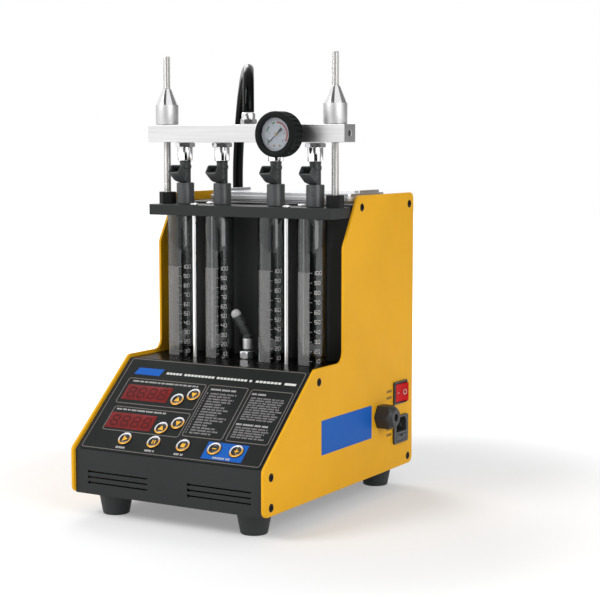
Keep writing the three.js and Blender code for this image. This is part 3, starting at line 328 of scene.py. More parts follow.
def merged_faces(work, cuts):
    """Joins triangles that lie in one plane, but keeps them apart along the cuts, so that no
    face runs round a hole."""
    bmesh.ops.remove_doubles(work, verts=work.verts, dist=2 * WELD_GAP)
    for axis, place in cuts:
        side = Vector([float(a == axis) for a in "xyz"])
        cut = bmesh.ops.bisect_plane(
            work, geom=work.verts[:] + work.edges[:] + work.faces[:], dist=2 * WELD_GAP,
            plane_co=side * place * MM, plane_no=side,
        )
        for part in cut["geom_cut"]:
            if isinstance(part, bmesh.types.BMEdge):
                part.seam = True
    bmesh.ops.dissolve_limit(
        work, angle_limit=math.radians(1.0), verts=work.verts, edges=work.edges, delimit={"SEAM"},
    )


def soften(node, finish, width, segments=2, cuts=()):
    """A copy of a node with its triangles merged to faces and its hard edges rounded."""
    mesh = NODES[node].data.copy()
    work = bmesh.new()
    work.from_mesh(mesh)
    merged_faces(work, cuts)
    for face in work.faces:
        face.smooth = True
    work.to_mesh(mesh)
    work.free()
    piece = put_in_scene(node + "_finished", mesh, finish)
    bevel = piece.modifiers.new("edge", "BEVEL")
    bevel.width = width * MM
    bevel.segments = segments
    bevel.limit_method = "ANGLE"
    bevel.angle_limit = math.radians(30.0)
    bevel.miter_outer = "MITER_ARC"
    even = piece.modifiers.new("even", "WEIGHTED_NORMAL")
    even.mode = "FACE_AREA_WITH_ANGLE"
    even.keep_sharp = False
    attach(piece, BODY_OF[node])
    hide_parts(node)
    return piece


def second_finish(piece, finish, lowest, highest=np.inf, facing=None):
    """Gives the faces whose centre lies between two heights another finish, where asked only
    those that face one way."""
    mesh = piece.data
    mesh.materials.append(finish)
    centre, normal = np.empty(len(mesh.polygons) * 3), np.empty(len(mesh.polygons) * 3)
    mesh.polygons.foreach_get("center", centre)
    mesh.polygons.foreach_get("normal", normal)
    height = centre.reshape(-1, 3)[:, 2] / MM
    chosen = (height > lowest) & (height < highest)
    if facing is not None:
        chosen &= normal.reshape(-1, 3) @ np.array(facing) > 0.9
    mesh.polygons.foreach_set("material_index", chosen.astype(np.int32))


# Finishes
GLASS_INDEX = 1.47


def shader(name, color, roughness, metallic=0.0, specular=0.5):
    """A new material and its main shader with the plain values set."""
    finish = bpy.data.materials.new(name)
    finish.use_nodes = True
    main = finish.node_tree.nodes["Principled BSDF"]
    main.inputs["Base Color"].default_value = (*color, 1.0)
    main.inputs["Roughness"].default_value = roughness
    main.inputs["Metallic"].default_value = metallic
    main.inputs["Specular IOR Level"].default_value = specular
    return finish, finish.node_tree, main


def noise_of(tree, scale, detail=3.0, stretch=(1.0, 1.0, 1.0)):
    """Noise on object coordinates, stretched along the axes."""
    place = tree.nodes.new("ShaderNodeTexCoord")
    mapping = tree.nodes.new("ShaderNodeMapping")
    mapping.inputs["Scale"].default_value = stretch
    noise = tree.nodes.new("ShaderNodeTexNoise")
    noise.inputs["Scale"].default_value = scale
    noise.inputs["Detail"].default_value = detail
    tree.links.new(place.outputs["Object"], mapping.inputs["Vector"])
    tree.links.new(mapping.outputs["Vector"], noise.inputs["Vector"])
    return noise


def color_ramp(tree, source, first, second, start, end):
    """A colour that runs from the first to the second between two values of a source."""
    ramp = tree.nodes.new("ShaderNodeValToRGB")
    for element, place, color in zip(ramp.color_ramp.elements, (start, end), (first, second)):
        element.position = place
        element.color = (*color, 1.0)
    tree.links.new(source.outputs["Fac"], ramp.inputs["Fac"])
    return ramp.outputs["Color"]


def vary_color(tree, main, noise, dark, light):
    """The colour runs from dark to light with the noise."""
    color = color_ramp(tree, noise, dark, light, 0.35, 0.65)
    tree.links.new(color, main.inputs["Base Color"])


def vary_roughness(tree, main, noise, least, most):
    """The roughness runs from least to most with the noise."""
    spread = tree.nodes.new("ShaderNodeMapRange")
    for name, value in zip(("From Min", "From Max", "To Min", "To Max"), (0.3, 0.7, least, most)):
        spread.inputs[name].default_value = value
    tree.links.new(noise.outputs["Fac"], spread.inputs["Value"])
    tree.links.new(spread.outputs["Result"], main.inputs["Roughness"])


def bump_with(tree, main, noise, strength, depth):
    """The noise raises the surface by a depth in millimetres."""
    bump = tree.nodes.new("ShaderNodeBump")
    bump.inputs["Strength"].default_value = strength
    bump.inputs["Distance"].default_value = depth * MM
    tree.links.new(noise.outputs["Fac"], bump.inputs["Height"])
    tree.links.new(bump.outputs["Normal"], main.inputs["Normal"])


def tinted(color, factor):
    """A colour times a factor, no channel above 1."""
    return tuple(min(c * factor, 1.0) for c in color)


def powder_coat(name, color, roughness, grain=1400.0, depth=0.04, specular=0.3):
    """Powder coat: an even colour with a faint drift, over a fine orange peel."""
    finish, tree, main = shader(name, color, roughness, specular=specular)
    vary_color(tree, main, noise_of(tree, 9.0), tinted(color, 0.96), tinted(color, 1.04))
    vary_roughness(tree, main, noise_of(tree, 60.0), roughness - 0.05, roughness + 0.05)
    bump_with(tree, main, noise_of(tree, grain, 2.0), 0.35, depth)
    return finish


def moulded(name, color, roughness, grain=2600.0, depth=0.02, specular=0.35):
    """Moulded plastic or rubber: a drift of colour over a fine spark-eroded grain."""
    finish, tree, main = shader(name, color, roughness, specular=specular)
    vary_color(tree, main, noise_of(tree, 40.0), tinted(color, 0.88), tinted(color, 1.12))
    vary_roughness(tree, main, noise_of(tree, 220.0), roughness - 0.06, roughness + 0.06)
    bump_with(tree, main, noise_of(tree, grain, 2.0), 0.3, depth)
    return finish


def brushed(name, color, roughness, stretch, grain=700.0, depth=0.006, spread=0.08):
    """Brushed metal: fine lines along one axis in roughness and relief."""
    finish, tree, main = shader(name, color, roughness, metallic=1.0)
    lines = noise_of(tree, grain, 4.0, stretch)
    vary_color(tree, main, lines, tinted(color, 0.93), tinted(color, 1.04))
    vary_roughness(tree, main, lines, roughness - spread, roughness + spread)
    bump_with(tree, main, lines, 0.25, depth)
    return finish


def plated(name, color, roughness):
    """Bright plating: near mirror, with faint clouds in the polish."""
    finish, tree, main = shader(name, color, roughness, metallic=1.0)
    vary_roughness(tree, main, noise_of(tree, 90.0), max(roughness - 0.04, 0.02), roughness + 0.05)
    vary_color(tree, main, noise_of(tree, 25.0), tinted(color, 0.97), tinted(color, 1.02))
    return finish


def ink(name, color, roughness=0.6, specular=0.3):
    """Screen-printed ink with a slightly uneven cover."""
    finish, tree, main = shader(name, color, roughness, specular=specular)
    vary_color(tree, main, noise_of(tree, 900.0), tinted(color, 0.95), tinted(color, 1.04))
    return finish


def two_toned(name, first, second, roughness, metallic):
    """A finish with a painted highlight: it runs from the highlight's colour to the base colour with the piece's
    own attribute of how far it lies from the painted highlight.
    """
    finish, tree, main = shader(name, first, roughness, metallic=metallic)
    highlight_falloff = tree.nodes.new("ShaderNodeAttribute")
    highlight_falloff.attribute_name = "highlight_falloff"
    tree.links.new(color_ramp(tree, highlight_falloff, first, second, 0.35, 0.62), main.inputs["Base Color"])
    vary_roughness(tree, main, noise_of(tree, 300.0), roughness - 0.05, roughness + 0.05)
    return finish


def clear_glass(name, color, roughness):
    """Clear glass with the faintest waviness."""
    finish, tree, main = shader(name, color, roughness)
    main.inputs["Transmission Weight"].default_value = 1.0
    main.inputs["IOR"].default_value = GLASS_INDEX
    vary_roughness(tree, main, noise_of(tree, 60.0), 0.0, roughness)
    return finish


YELLOW = powder_coat("yellow_powder_coat", (0.715, 0.36, 0.012), 0.45, specular=0.07)
BLACK = powder_coat("black_powder_coat", (0.0255, 0.027, 0.0275), 0.45, specular=0.12)
BAR_BLACK = powder_coat("bar_black_anodised", (0.0245, 0.026, 0.026), 0.4, 2400.0, 0.015, 0.12)
# A darker copy of the bar's black for its bosses under the injectors: painted shade.
BOSS_BLACK_PAINTED_SHADE = powder_coat("boss_black_painted_shade", (0.0115, 0.012, 0.012), 0.4, 2400.0, 0.015, 0.1)
# A near-black copy for the top of the ledge between the tubes: painted shade.
LEDGE_BLACK_PAINTED_SHADE = moulded(
    "ledge_black_painted_shade", (0.003, 0.003, 0.003), 0.22, 2400.0, 0.004, specular=0.03,
)
# A lighter copy of the black coat for the shaded wall behind the tubes: painted light.
WALL_BLACK_PAINTED_LIGHT = powder_coat("wall_black_painted_light", (0.043, 0.044, 0.044), 0.5, specular=0.12)
SCREW_BLACK = moulded(
    "screw_black_oxide", (0.0045, 0.0045, 0.005), 0.45, 2600.0, 0.004, specular=0.12,
)
FILM = moulded("overlay_film", (0.0092, 0.0105, 0.0105), 0.4, 3200.0, 0.006, specular=0.1)
PLASTIC = moulded("dark_plastic", (0.024, 0.025, 0.026), 0.45)
INLET_PLASTIC = moulded("inlet_plastic", (0.036, 0.038, 0.039), 0.45)
INJECTOR_GREY = moulded("injector_grey_plastic", (0.06, 0.062, 0.064), 0.32)
INJECTOR_DARK = moulded("injector_dark_plastic", (0.042, 0.045, 0.046), 0.36)
RUBBER = moulded("black_rubber", (0.022, 0.024, 0.025), 0.55, 1800.0, 0.04)
SEAL_RUBBER = moulded("seal_rubber", (0.004, 0.004, 0.004), 0.6, 1800.0, 0.04, specular=0.1)
BOOT_RUBBER = moulded("boot_rubber", (0.0075, 0.0082, 0.0082), 0.5, 1800.0, 0.03, specular=0.07)
HOSE_RUBBER = moulded("hose_rubber", (0.001, 0.0012, 0.0012), 0.16, 1600.0, 0.003, specular=0.08)
GLOSS_BLACK = moulded("gloss_black_plastic", (0.01, 0.011, 0.012), 0.24, 2600.0, 0.004)
LEVER_BLACK = moulded("lever_satin_plastic", (0.034, 0.036, 0.037), 0.3, 2600.0, 0.006)
# The lever's round end is a lighter grey than its rod: a painted highlight.
LEVER_END_HIGHLIGHT = moulded("lever_end_painted_highlight", (0.32, 0.32, 0.32), 0.25, 2600.0, 0.004)
RED_ROCKER = moulded("red_gloss_plastic", (0.46, 0.004, 0.006), 0.3, 2600.0, 0.004, specular=0.06)
CHROME = plated("chrome_plating", (0.86, 0.86, 0.87), 0.11)
SOFT_CHROME = plated("satin_chrome", (0.82, 0.82, 0.83), 0.09)
ROD_STEEL = plated("rod_steel", (0.84, 0.84, 0.84), 0.3)
RAIL_ALUMINIUM = brushed(
    "rail_aluminium", (0.63, 0.63, 0.63), 0.36, (0.02, 1.0, 1.0), depth=0.0003, spread=0.01,
)
LID_STEEL = brushed(
    "lid_steel", (0.6, 0.605, 0.62), 0.42, (0.02, 1.0, 1.0), depth=0.0006, spread=0.02,
)
TURNED_STEEL = brushed("turned_steel", (0.56, 0.555, 0.55), 0.26, (1.0, 1.0, 30.0), depth=0.002)
BARREL_STEEL = brushed(
    "barrel_turned_steel", (0.57, 0.57, 0.57), 0.5, (0.6, 0.6, 30.0), depth=0.002, spread=0.03,
)
PLAIN_STEEL = brushed("inner_steel", (0.5, 0.5, 0.51), 0.35, (1.0, 0.03, 1.0))
GLASS = clear_glass("tube_glass", (0.55, 0.57, 0.57), 0.02)
LENS = clear_glass("lens_glass", (0.97, 0.98, 0.98), 0.01)
LINE_INK = ink("grey_line_ink", (0.13, 0.115, 0.108))
TEXT_INK = ink("grey_text_ink", (0.2, 0.19, 0.19))
PALE_INK = ink("pale_ink", (0.4, 0.39, 0.385))
WHITE_INK = ink("white_ink", (0.62, 0.62, 0.6))
PANEL_INK = ink("brown_panel_ink", (0.13, 0.07, 0.012))
GOLD_INK = ink("gold_ink", (0.85, 0.42, 0.02))
BLUE_INK = ink("blue_film", (0.009, 0.095, 0.4), 0.45, 0.08)
GREEN_INK = ink("green_ink", (0.06, 0.24, 0.1))
RED_INK = ink("red_ink", (0.42, 0.06, 0.06))
DIAL_WHITE = ink("dial_white", (0.56, 0.59, 0.66), 0.5)
DIAL_INK = ink("dial_grey_ink", (0.1, 0.11, 0.14))
BRASS = plated("dial_brass", (0.36, 0.27, 0.16), 0.3)
DISPLAY_RED = moulded(
    "display_red_window", (0.16, 0.012, 0.012), 0.3, 2600.0, 0.002, specular=0.1,
)
DIGIT_RED = ink("display_digit", (0.045, 0.006, 0.008), 0.4, 0.1)
PCB_GREEN = moulded("board_green", (0.015, 0.09, 0.035), 0.4, 900.0, 0.02)


def plain_nodes():
    """Finishes of the nodes that keep their own solid."""
    kept = {
        "tube_seat": PLASTIC, "control_board": PCB_GREEN, "bath_tub": PLAIN_STEEL,
        "fluid_tank": PLAIN_STEEL, "fuel_pump": SOFT_CHROME, "power_supply": PLAIN_STEEL,
    }
    for node, finish in kept.items():
        NODES[node].data.materials.clear()
        NODES[node].data.materials.append(finish)


plain_nodes()


# Hose from the rail's fitting over the bath to the boss on the deck
HOSE_DIAMETER = 11.8
SPAN_STEPS = 6
HOSE_ROUTE = [
    (-7.3, 0.7), (-7.3, 0.7), (-8.2, 2.1), (-10.6, 5.9), (-14.5, 12.1), (-19.6, 20.1),
    (-25.5, 29.5), (-31.9, 39.6), (-41.5, 52.2), (-51.7, 66.0), (-61.3, 78.6), (-70.3, 90.5),
    (-79.0, 101.6), (-86.8, 111.6), (-93.8, 120.3), (-99.9, 127.7), (-104.8, 133.7),
    (-108.4, 137.9), (-110.5, 140.6), (-111.0, 141.4), (-111.0, 141.4),
]
HOSE_HEIGHTS = [
    409.7, 416.0, 421.9, 433.0, 442.5, 449.8, 454.4, 456.0, 454.9, 451.4, 445.7, 437.9,
    428.0, 416.5, 403.2, 388.5, 372.6, 355.9, 338.5, 327.0, 320.3,
]


def smooth_path(points):
    """A centripetal curve through the points: each span blends its four nearest points."""
    p = np.asarray(points, float)
    p = np.vstack([2 * p[0] - p[1], p, 2 * p[-1] - p[-2]])
    spans = []
    for i in range(1, len(p) - 2):
        gaps = np.linalg.norm(np.diff(p[i - 1:i + 3], axis=0), axis=1) ** 0.5
        t0, t1, t2, t3 = np.concatenate([[0.0], np.cumsum(gaps)])
        t = np.linspace(t1, t2, SPAN_STEPS, endpoint=False)[:, None]
        a1 = (t1 - t) / (t1 - t0) * p[i - 1] + (t - t0) / (t1 - t0) * p[i]
        a2 = (t2 - t) / (t2 - t1) * p[i] + (t - t1) / (t2 - t1) * p[i + 1]
        a3 = (t3 - t) / (t3 - t2) * p[i + 1] + (t - t2) / (t3 - t2) * p[i + 2]
        b1 = (t2 - t) / (t2 - t0) * a1 + (t - t0) / (t2 - t0) * a2
        b2 = (t3 - t) / (t3 - t1) * a2 + (t - t1) / (t3 - t1) * a3
        spans.append((t2 - t) / (t2 - t1) * b1 + (t - t1) / (t2 - t1) * b2)
    return np.vstack([*spans, p[-2]])


def make_hose():
    """The hose is a circle carried along its route, bending between the rail and the deck."""
    path = smooth_path(np.column_stack([HOSE_ROUTE, HOSE_HEIGHTS]))
    points, faces = sweep(path, HOSE_DIAMETER / 2, 32)
    mesh = bpy.data.meshes.new("hose_run")
    mesh.from_pydata((points * MM).tolist(), [], faces)
    weld(mesh, 180.0)
    hose = put_in_scene("hose_run", mesh, HOSE_RUBBER)
    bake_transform(hose)
    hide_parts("hose")


make_hose()


# Cabinet sheets and other plain solids, their faces divided at the middles of holes
PANEL_FACE = high("side_panel_right")[0]
PANEL_FRONT, PANEL_BOTTOM = low("side_panel_right")[1:]
PANEL_SCREWS = [
    # along the panel from its front, above its bottom edge
    (13.7, 8.4), (13.7, 37.8), (105.6, 117.1), (194.7, 287.6), (304.0, 287.6), (304.0, 8.4),
]
SCREW_CUTS = [("y", PANEL_FRONT + y) for y in sorted({y for y, _ in PANEL_SCREWS})]
PANEL_CUTS = SCREW_CUTS + across("y", "tube_1", "rocker_frame", "signal_socket")
soften("side_panel_left", YELLOW, 0.7, cuts=PANEL_CUTS)
soften("side_panel_right", YELLOW, 0.7, cuts=PANEL_CUTS)

BUTTONS = [n for n in NODES if n.startswith("button_")]
TUBES = [f"tube_{number}" for number in range(1, 5)]
LEDGE_TOP = high("front_shell")[2]
SLOT_CUTS = [("x", low("front_shell")[0] + x) for x in (57.0, 167.0)]
SHELL_CUTS = across("x", "drain_valve", *BUTTONS, *TUBES) + SLOT_CUTS
shell = soften("front_shell", BLACK, 0.5, cuts=SHELL_CUTS)
# The ledge's upward face, in the bay between the tubes, is painted near black: painted shade.
second_finish(shell, LEDGE_BLACK_PAINTED_SHADE, LEDGE_TOP - 0.4, LEDGE_TOP + 0.4, (0, 0, 1))

VENT_CUTS = [("x", middle("rear_cover")[0] + x) for x in (-45.0, 45.0)]
cover = soften("rear_cover", BLACK, 0.5, cuts=across("x", "bath_tub", "hose") + VENT_CUTS)
# The rear cover's front-facing wall above the ledge gets the lighter black: painted light that makes up for the
# shade it stands in.
second_finish(cover, WALL_BLACK_PAINTED_LIGHT, LEDGE_TOP, facing=(0, -1, 0))

DISPLAY_MIDDLE = -64.6
OVERLAY_CUTS = across("x", *BUTTONS) + [("x", DISPLAY_MIDDLE)]
soften("control_overlay", FILM, 0.15, 1, cuts=OVERLAY_CUTS)

NOZZLE_LENGTH = 21.0
bar = soften("clamp_bar", BAR_BLACK, 0.6, cuts=across("x", "stud_left", "stud_right", *TUBES))
# The bar's faces above the injectors' nozzles take the darker black: painted shade on the bosses.
second_finish(bar, BOSS_BLACK_PAINTED_SHADE, low("injector_1")[2] + NOZZLE_LENGTH - 0.2)

soften("bath_lid", LID_STEEL, 0.8, 3)
soften("fuel_rail", RAIL_ALUMINIUM, 0.5, cuts=across("x", "stud_left", "stud_right"))
soften("rocker_frame", PLASTIC, 0.5)
soften("rocker_key", RED_ROCKER, 0.6, 3)
soften("mains_inlet", INLET_PLASTIC, 0.6)
soften("fuse_drawer", INLET_PLASTIC, 0.3)


# Rubber feet
FOOT_NARROW = 13.7
FOOT_EDGE = 1.5


def rubber_foot(end, side):
    """r widens in a straight line from a rounded lower edge to a short straight waist."""
    node = f"foot_{end}_{side}"
    (left, _, bottom), (right, _, top) = low(node), high(node)
    wide = (right - left) / 2
    a = np.linspace(0, math.pi / 2, 5)
    edge = np.column_stack([
        FOOT_NARROW - FOOT_EDGE + FOOT_EDGE * np.sin(a), bottom + FOOT_EDGE - FOOT_EDGE * np.cos(a),
    ])
    profile = [
        (0, bottom), *edge, (wide - 0.1, top - 3.3), (wide, top - 2.9), (wide, top - 0.5),
        (wide - 0.5, top), (0, top),
    ]
    shell = placed(revolve(profile, MEDIUM_ROUND), on_axis(node))
    stand_in(f"rubber_{node}", shell, RUBBER, node)


for end in ("front", "back"):
    for side in ("left", "right"):
        rubber_foot(end, side)


# Injectors between the clamp bar and their cups
BARREL_HEIGHT = 22.8
SOCKET_RISE = 36.6
SOCKET_SIZE = (14.0, 10.9)
PIN_AWAY = 2.8
CUP_HEXAGON = 5.2
CUP_FLATS = 18.4


def injector(number):
    """Revolved barrel and neck, and a rounded rectangle carried up the tilted axis of the
    signal socket, which ends in a rim round a recess with two pins."""
    node = f"injector_{number}"
    x, y, _ = on_axis(f"injector_cup_{number}")
    tip = low(node)[2]
    base = tip + NOZZLE_LENGTH
    shoulder = base + BARREL_HEIGHT
    barrel = [
        (0, tip), (2.8, tip), (4, tip + 1.2), (4, base), (9.1, base), (9.5, base + 0.4),
        (9.5, shoulder - 1.0), (9.3, shoulder - 0.4), (8.7, shoulder), (0, shoulder),
    ]
    neck = [
        (0, 0), (5.9, 0), (5.9, 14.5), (6.5, 15.2), (6.6, 16.8), (6.5, 18.6), (5.9, 19.2),
        (5.9, 21.6), (6.3, 21.9), (6.3, 23.0), (5.4, 23.2), (5.4, 28.3), (4.4, 29.3), (0, 29.3),
    ]
    rim = [
        (3.2, 3.0), (2.0, 5.5), (0.6, 9.0), (0, 12.0), (0, 24.3), (0.2, 24.65), (0.5, 24.8),
        (1.2, 24.8), (1.5, 24.6), (1.5, 16.8),
    ]
    turn = turn_about("X", 90 - SOCKET_RISE)
    socket = placed(slab(*SOCKET_SIZE, 2.0, rim), turn=turn)
    pin = placed(slab(1.0, 2.0, 0.2, [(0, 16.0), (0, 19.0)]), turn=turn)
    pins = joined([placed(pin, (side * PIN_AWAY, 0, 0)) for side in (1, -1)])
    head = joined([revolve(neck, MEDIUM_ROUND), socket])
    at = (x, y, shoulder)
    stand_in(f"injector_barrel_{number}", placed(revolve(barrel, MEDIUM_ROUND), (x, y, 0)),
             INJECTOR_GREY, node)
    addition(f"injector_head_{number}", placed(head, at), INJECTOR_DARK, node)
    addition(f"injector_pins_{number}", placed(pins, at), TURNED_STEEL, node)


def injector_cup(number):
    """Revolved cup, open below, under a hexagon with turned corners."""
    node = f"injector_cup_{number}"
    bottom, top = low(node)[2], high(node)[2]
    seat = top - CUP_HEXAGON
    cup = [
        (0, bottom + 6.1), (5.7, bottom + 6.1), (5.8, bottom + 0.4), (6.1, bottom), (8.0, bottom),
        (8.3, bottom + 0.15), (8.4, bottom + 0.5), (8.4, seat), (0, seat),
    ]
    shell = joined([revolve(cup, FINE_ROUND), hexagon_nut(CUP_FLATS, seat, top)])
    stand_in(f"chrome_cup_{number}", placed(shell, on_axis(node)), CHROME, node, 25.0)


def stay_rod(number):
    """Revolved rod with a domed head."""
    node = f"stay_rod_{number}"
    bottom, top = low(node)[2], high(node)[2]
    head = top - 2
    a = np.linspace(0.2, math.pi / 2, 6)
    dome = np.column_stack([4.2 * np.cos(a), head + 1.0 + np.sin(a)])
    rod = [
        (0, bottom), (2.2, bottom), (2.2, head), (3.9, head), (4.2, head + 0.25),
        (4.2, head + 1.0), *dome,
    ]
    shell = placed(revolve(rod, SMALL_ROUND), on_axis(node))
    stand_in(f"chrome_stay_{number}", shell, ROD_STEEL, node)


for number in range(1, 5):
    injector(number)
    injector_cup(number)
    stay_rod(number)


# Hose fitting, drain valve with its lever, and the signal socket
FITTING_HEXAGON = 5.6
FITTING_FLATS = 15.0
SLEEVE_HEIGHT = 12.8
VALVE_NUT_HEIGHT = 8.4
VALVE_FLATS = 16.0
SIGNAL_FLATS = 24.0


def hose_fitting():
    """A hexagon with turned corners under a revolved ferrule."""
    node = "hose_fitting"
    bottom, top = low(node)[2], high(node)[2]
    seat = bottom + FITTING_HEXAGON
    ferrule = [
        (0, seat), (6.9, seat), (7.3, seat + 0.4), (7.3, top - 1.6), (7.1, top - 0.9),
        (6.6, top - 0.3), (6.2, top), (0, top),
    ]
    shell = joined([hexagon_nut(FITTING_FLATS, bottom, seat), revolve(ferrule, FINE_ROUND)])
    stand_in("chrome_fitting", placed(shell, on_axis("fuel_rail")), CHROME, node, 25.0)


def drain_valve():
    """A hexagon with turned corners on the ledge, a narrow black collar and a revolved sleeve."""
    node = "drain_valve"
    bottom, top = low(node)[2], high(node)[2]
    seat = top - SLEEVE_HEIGHT
    nut = hexagon_nut(VALVE_FLATS, seat - VALVE_NUT_HEIGHT, seat, 30.0)
    shank = [(0, bottom), (5, bottom), (5, seat - 1), (0, seat - 1)]
    collar = [(0, seat - 0.5), (5.2, seat - 0.5), (5.2, seat + 2.0), (0, seat + 2.0)]
    sleeve = [
        (0, seat + 1.8), (5.1, seat + 1.8), (5.5, seat + 2.3), (5.5, top - 0.5), (5.2, top),
        (0, top),
    ]
    at = on_axis(node)
    stand_in("valve_nut", placed(joined([nut, revolve(shank)]), at), CHROME, node, 25.0)
    addition("valve_collar", placed(revolve(collar, MEDIUM_ROUND), at), RUBBER, node)
    addition("valve_sleeve", placed(revolve(sleeve, MEDIUM_ROUND), at), BARREL_STEEL, node)


def drain_lever():
    """A hub, a straight rod and a glossier round end in a lighter grey, a painted highlight, leaned over and
    turned.
    """
    reach, rise, bearing, radius, tip = 12.4, 23.6, 222, 5.15, 5.3
    length = math.hypot(reach, rise)
    neck = length - 1.6
    a = np.linspace(0, math.pi / 2, 9)
    end = np.column_stack([tip * np.cos(a), length + tip * np.sin(a)])
    stem = revolve([(0, 1.0), (4.6, 1.0), (5.0, 5.0), (radius, neck), (0, neck)], MEDIUM_ROUND)
    knob = revolve([(0, neck), (radius, neck), *end], MEDIUM_ROUND)
    hub = revolve([
        (0, 0), (5.2, 0), (5.4, 0.3), (5.4, 3.4), (5.1, 3.9), (4.4, 4.2), (0, 4.2),
    ], MEDIUM_ROUND)
    lean = turn_about("Z", bearing) @ turn_about("Y", math.degrees(math.atan2(reach, rise)))
    x, y, _ = on_axis("drain_valve")
    at = (x, y, low("drain_lever")[2])
    stem, knob = [placed(shell, (0, 0, 2.0), lean) for shell in (stem, knob)]
    stand_in("valve_lever", placed(joined([stem, hub]), at), LEVER_BLACK, "drain_lever", 40.0)
    # The round end in its lighter grey, a painted highlight.
    addition("valve_lever_end", placed(knob, at), LEVER_END_HIGHLIGHT, "drain_lever", 40.0)


def signal_socket():
    """A hexagon drawn in to a round nose with a bore, along X out of the right panel."""
    corner = SIGNAL_FLATS / 2 / math.cos(math.pi / 6)
    nose = divided([
        (0, 8), (4, 8), (4, 19.6), (4.4, 20), (8.8, 20), (9.4, 19.6), (12.3, 15.6), (12.9, 14.6),
        (corner, 13.6), (corner, 0.9), (corner - 0.6, 0.3), (0, 0.3),
    ], lambda start, end: min(start[0], end[0]) > 8 and abs(end[0] - start[0]) > 0.5, 5)
    shank = [(0, -8.3), (7, -8.3), (7, 0.5), (0, 0.5)]
    shell = joined([
        revolve(nose, FINE_ROUND, hexed(SIGNAL_FLATS)), revolve(shank),
        hexagon_nut(18.0, -8.3, -3.3),
    ])
    shell = placed(shell, (PANEL_FACE, *middle("signal_socket")[1:]), turn_about("Y", 90))
    stand_in("signal_nose", shell, PLASTIC, "signal_socket", 25.0)


hose_fitting()
drain_valve()
drain_lever()
signal_socket()


# Marks on the rocker: a bar on its front half and a ring on its back half
ROCKER_PIVOT = 3.6
ROCKER_TILT = 10
ROCKER_REACH, ROCKER_RISE, ROCKER_FALL = 11.5, 6.4, 1.6
MARK_REACH = 6.0
ROCKER_LIFT = 0.02


def rocker_marks():
    """Each mark lies on its half of the key's face, which falls to the middle in a straight
    line: x = the rise of the middle + the fall's slope times the way from it."""
    pivot = (PANEL_FACE - ROCKER_PIVOT, *middle("rocker_frame")[1:])
    slant = math.degrees(math.atan2(ROCKER_FALL, ROCKER_REACH))
    x = ROCKER_RISE + ROCKER_FALL * MARK_REACH / ROCKER_REACH + ROCKER_LIFT
    marks = []
    bar = bar_shape((-1.6, 0), (1.6, 0), 0.9, 0.1)
    for way, mark in ((-1, bar), (1, ring_mark(2.9, 2.1, 0.1))):
        turn = turn_about("Z", 90 - slant * way) @ turn_about("X", 90)
        mark = placed(mark, (x, way * MARK_REACH, 0), turn)
        marks.append(placed(mark, pivot, turn_about("Z", -ROCKER_TILT)))
    addition("rocker_marks", joined(marks), PALE_INK, "rocker_key")


def ring_mark(outer, inner, thickness):
    """A flat ring of a square section."""
    return revolve([(inner, 0), (outer, 0), (outer, thickness), (inner, thickness), (inner, 0)])


rocker_marks()


# Clamp studs and nuts
PITCH = 1.25
THREAD_DEPTH = 0.55
NUT_SHOULDER = 21.0


def threaded_rod(name, node, finish):
    """r = R - depth of a triangle wave of (height / pitch - angle / full turn): a true helix."""
    (left, _, bottom), (right, _, top) = low(node), high(node)
    radius = (right - left) / 2
    rows = np.arange(bottom, top - 1.0, PITCH / 6)
    profile = np.vstack([
        [(0, bottom)], np.column_stack([np.full(len(rows), radius), rows]),
        [(radius - 1.2, top), (0, top)],
    ])

    def groove(angle, height, r):
        phase = (height / PITCH - angle / (2 * math.pi)) % 1.0
        return np.where(r > radius - 0.1, -THREAD_DEPTH * np.abs(2 * phase - 1), 0.0)

    stand_in(name, placed(revolve(profile, 24, groove), on_axis(node)), finish, node, 60.0)


def clamp_nut(side):
    """Turned nut: a fine-turned barrel with rolled edges, and a polished cone to a thin lip."""
    node = f"clamp_nut_{side}"
    (left, _, bottom), (right, _, top) = low(node), high(node)
    radius, bore, tip = (right - left) / 2, 4.3, 4.9
    shoulder = bottom + NUT_SHOULDER
    barrel = [
        (bore, bottom), (radius - 0.8, bottom), (radius - 0.2, bottom + 0.3),
        (radius, bottom + 0.9), (radius, shoulder - 0.5), (radius - 0.15, shoulder),
        (bore, shoulder), (bore, bottom),
    ]
    cone = [
        (bore, shoulder), (radius - 0.2, shoulder), (radius - 0.45, shoulder + 0.5),
        (tip + 0.2, top - 0.4), (tip - 0.1, top), (bore, top), (bore, shoulder),
    ]
    barrel, cone = [placed(revolve(p, FINE_ROUND), on_axis(node)) for p in (barrel, cone)]
    stand_in(f"nut_barrel_{side}", barrel, BARREL_STEEL, node, 25.0)
    addition(f"nut_cone_{side}", cone, SOFT_CHROME, node, 25.0)


for side in ("left", "right"):
    threaded_rod(f"threaded_stud_{side}", f"stud_{side}", TURNED_STEEL)
    clamp_nut(side)


# Glass tubes with their scale
TUBE_RADIUS = 15.65
TUBE_WALL = 2.0
SEAL_RISE = 9.0
INK_LIFT = 0.05
SCALE_TOP = 95.3
DECADE = 10.05
DECADES = 10
TICKS = 96
FIRST_TICK, LAST_TICK, MIDDLE_TICK, LONG_TICK = -38.0, 18.0, 21.0, 30.0
TICK_WIDTH = 0.25
# height, gap and slimness of a figure
FIGURE = (3.6, 0.34, 0.62)
FIGURE_STROKE = 0.62
FIGURE_AT = 50.0


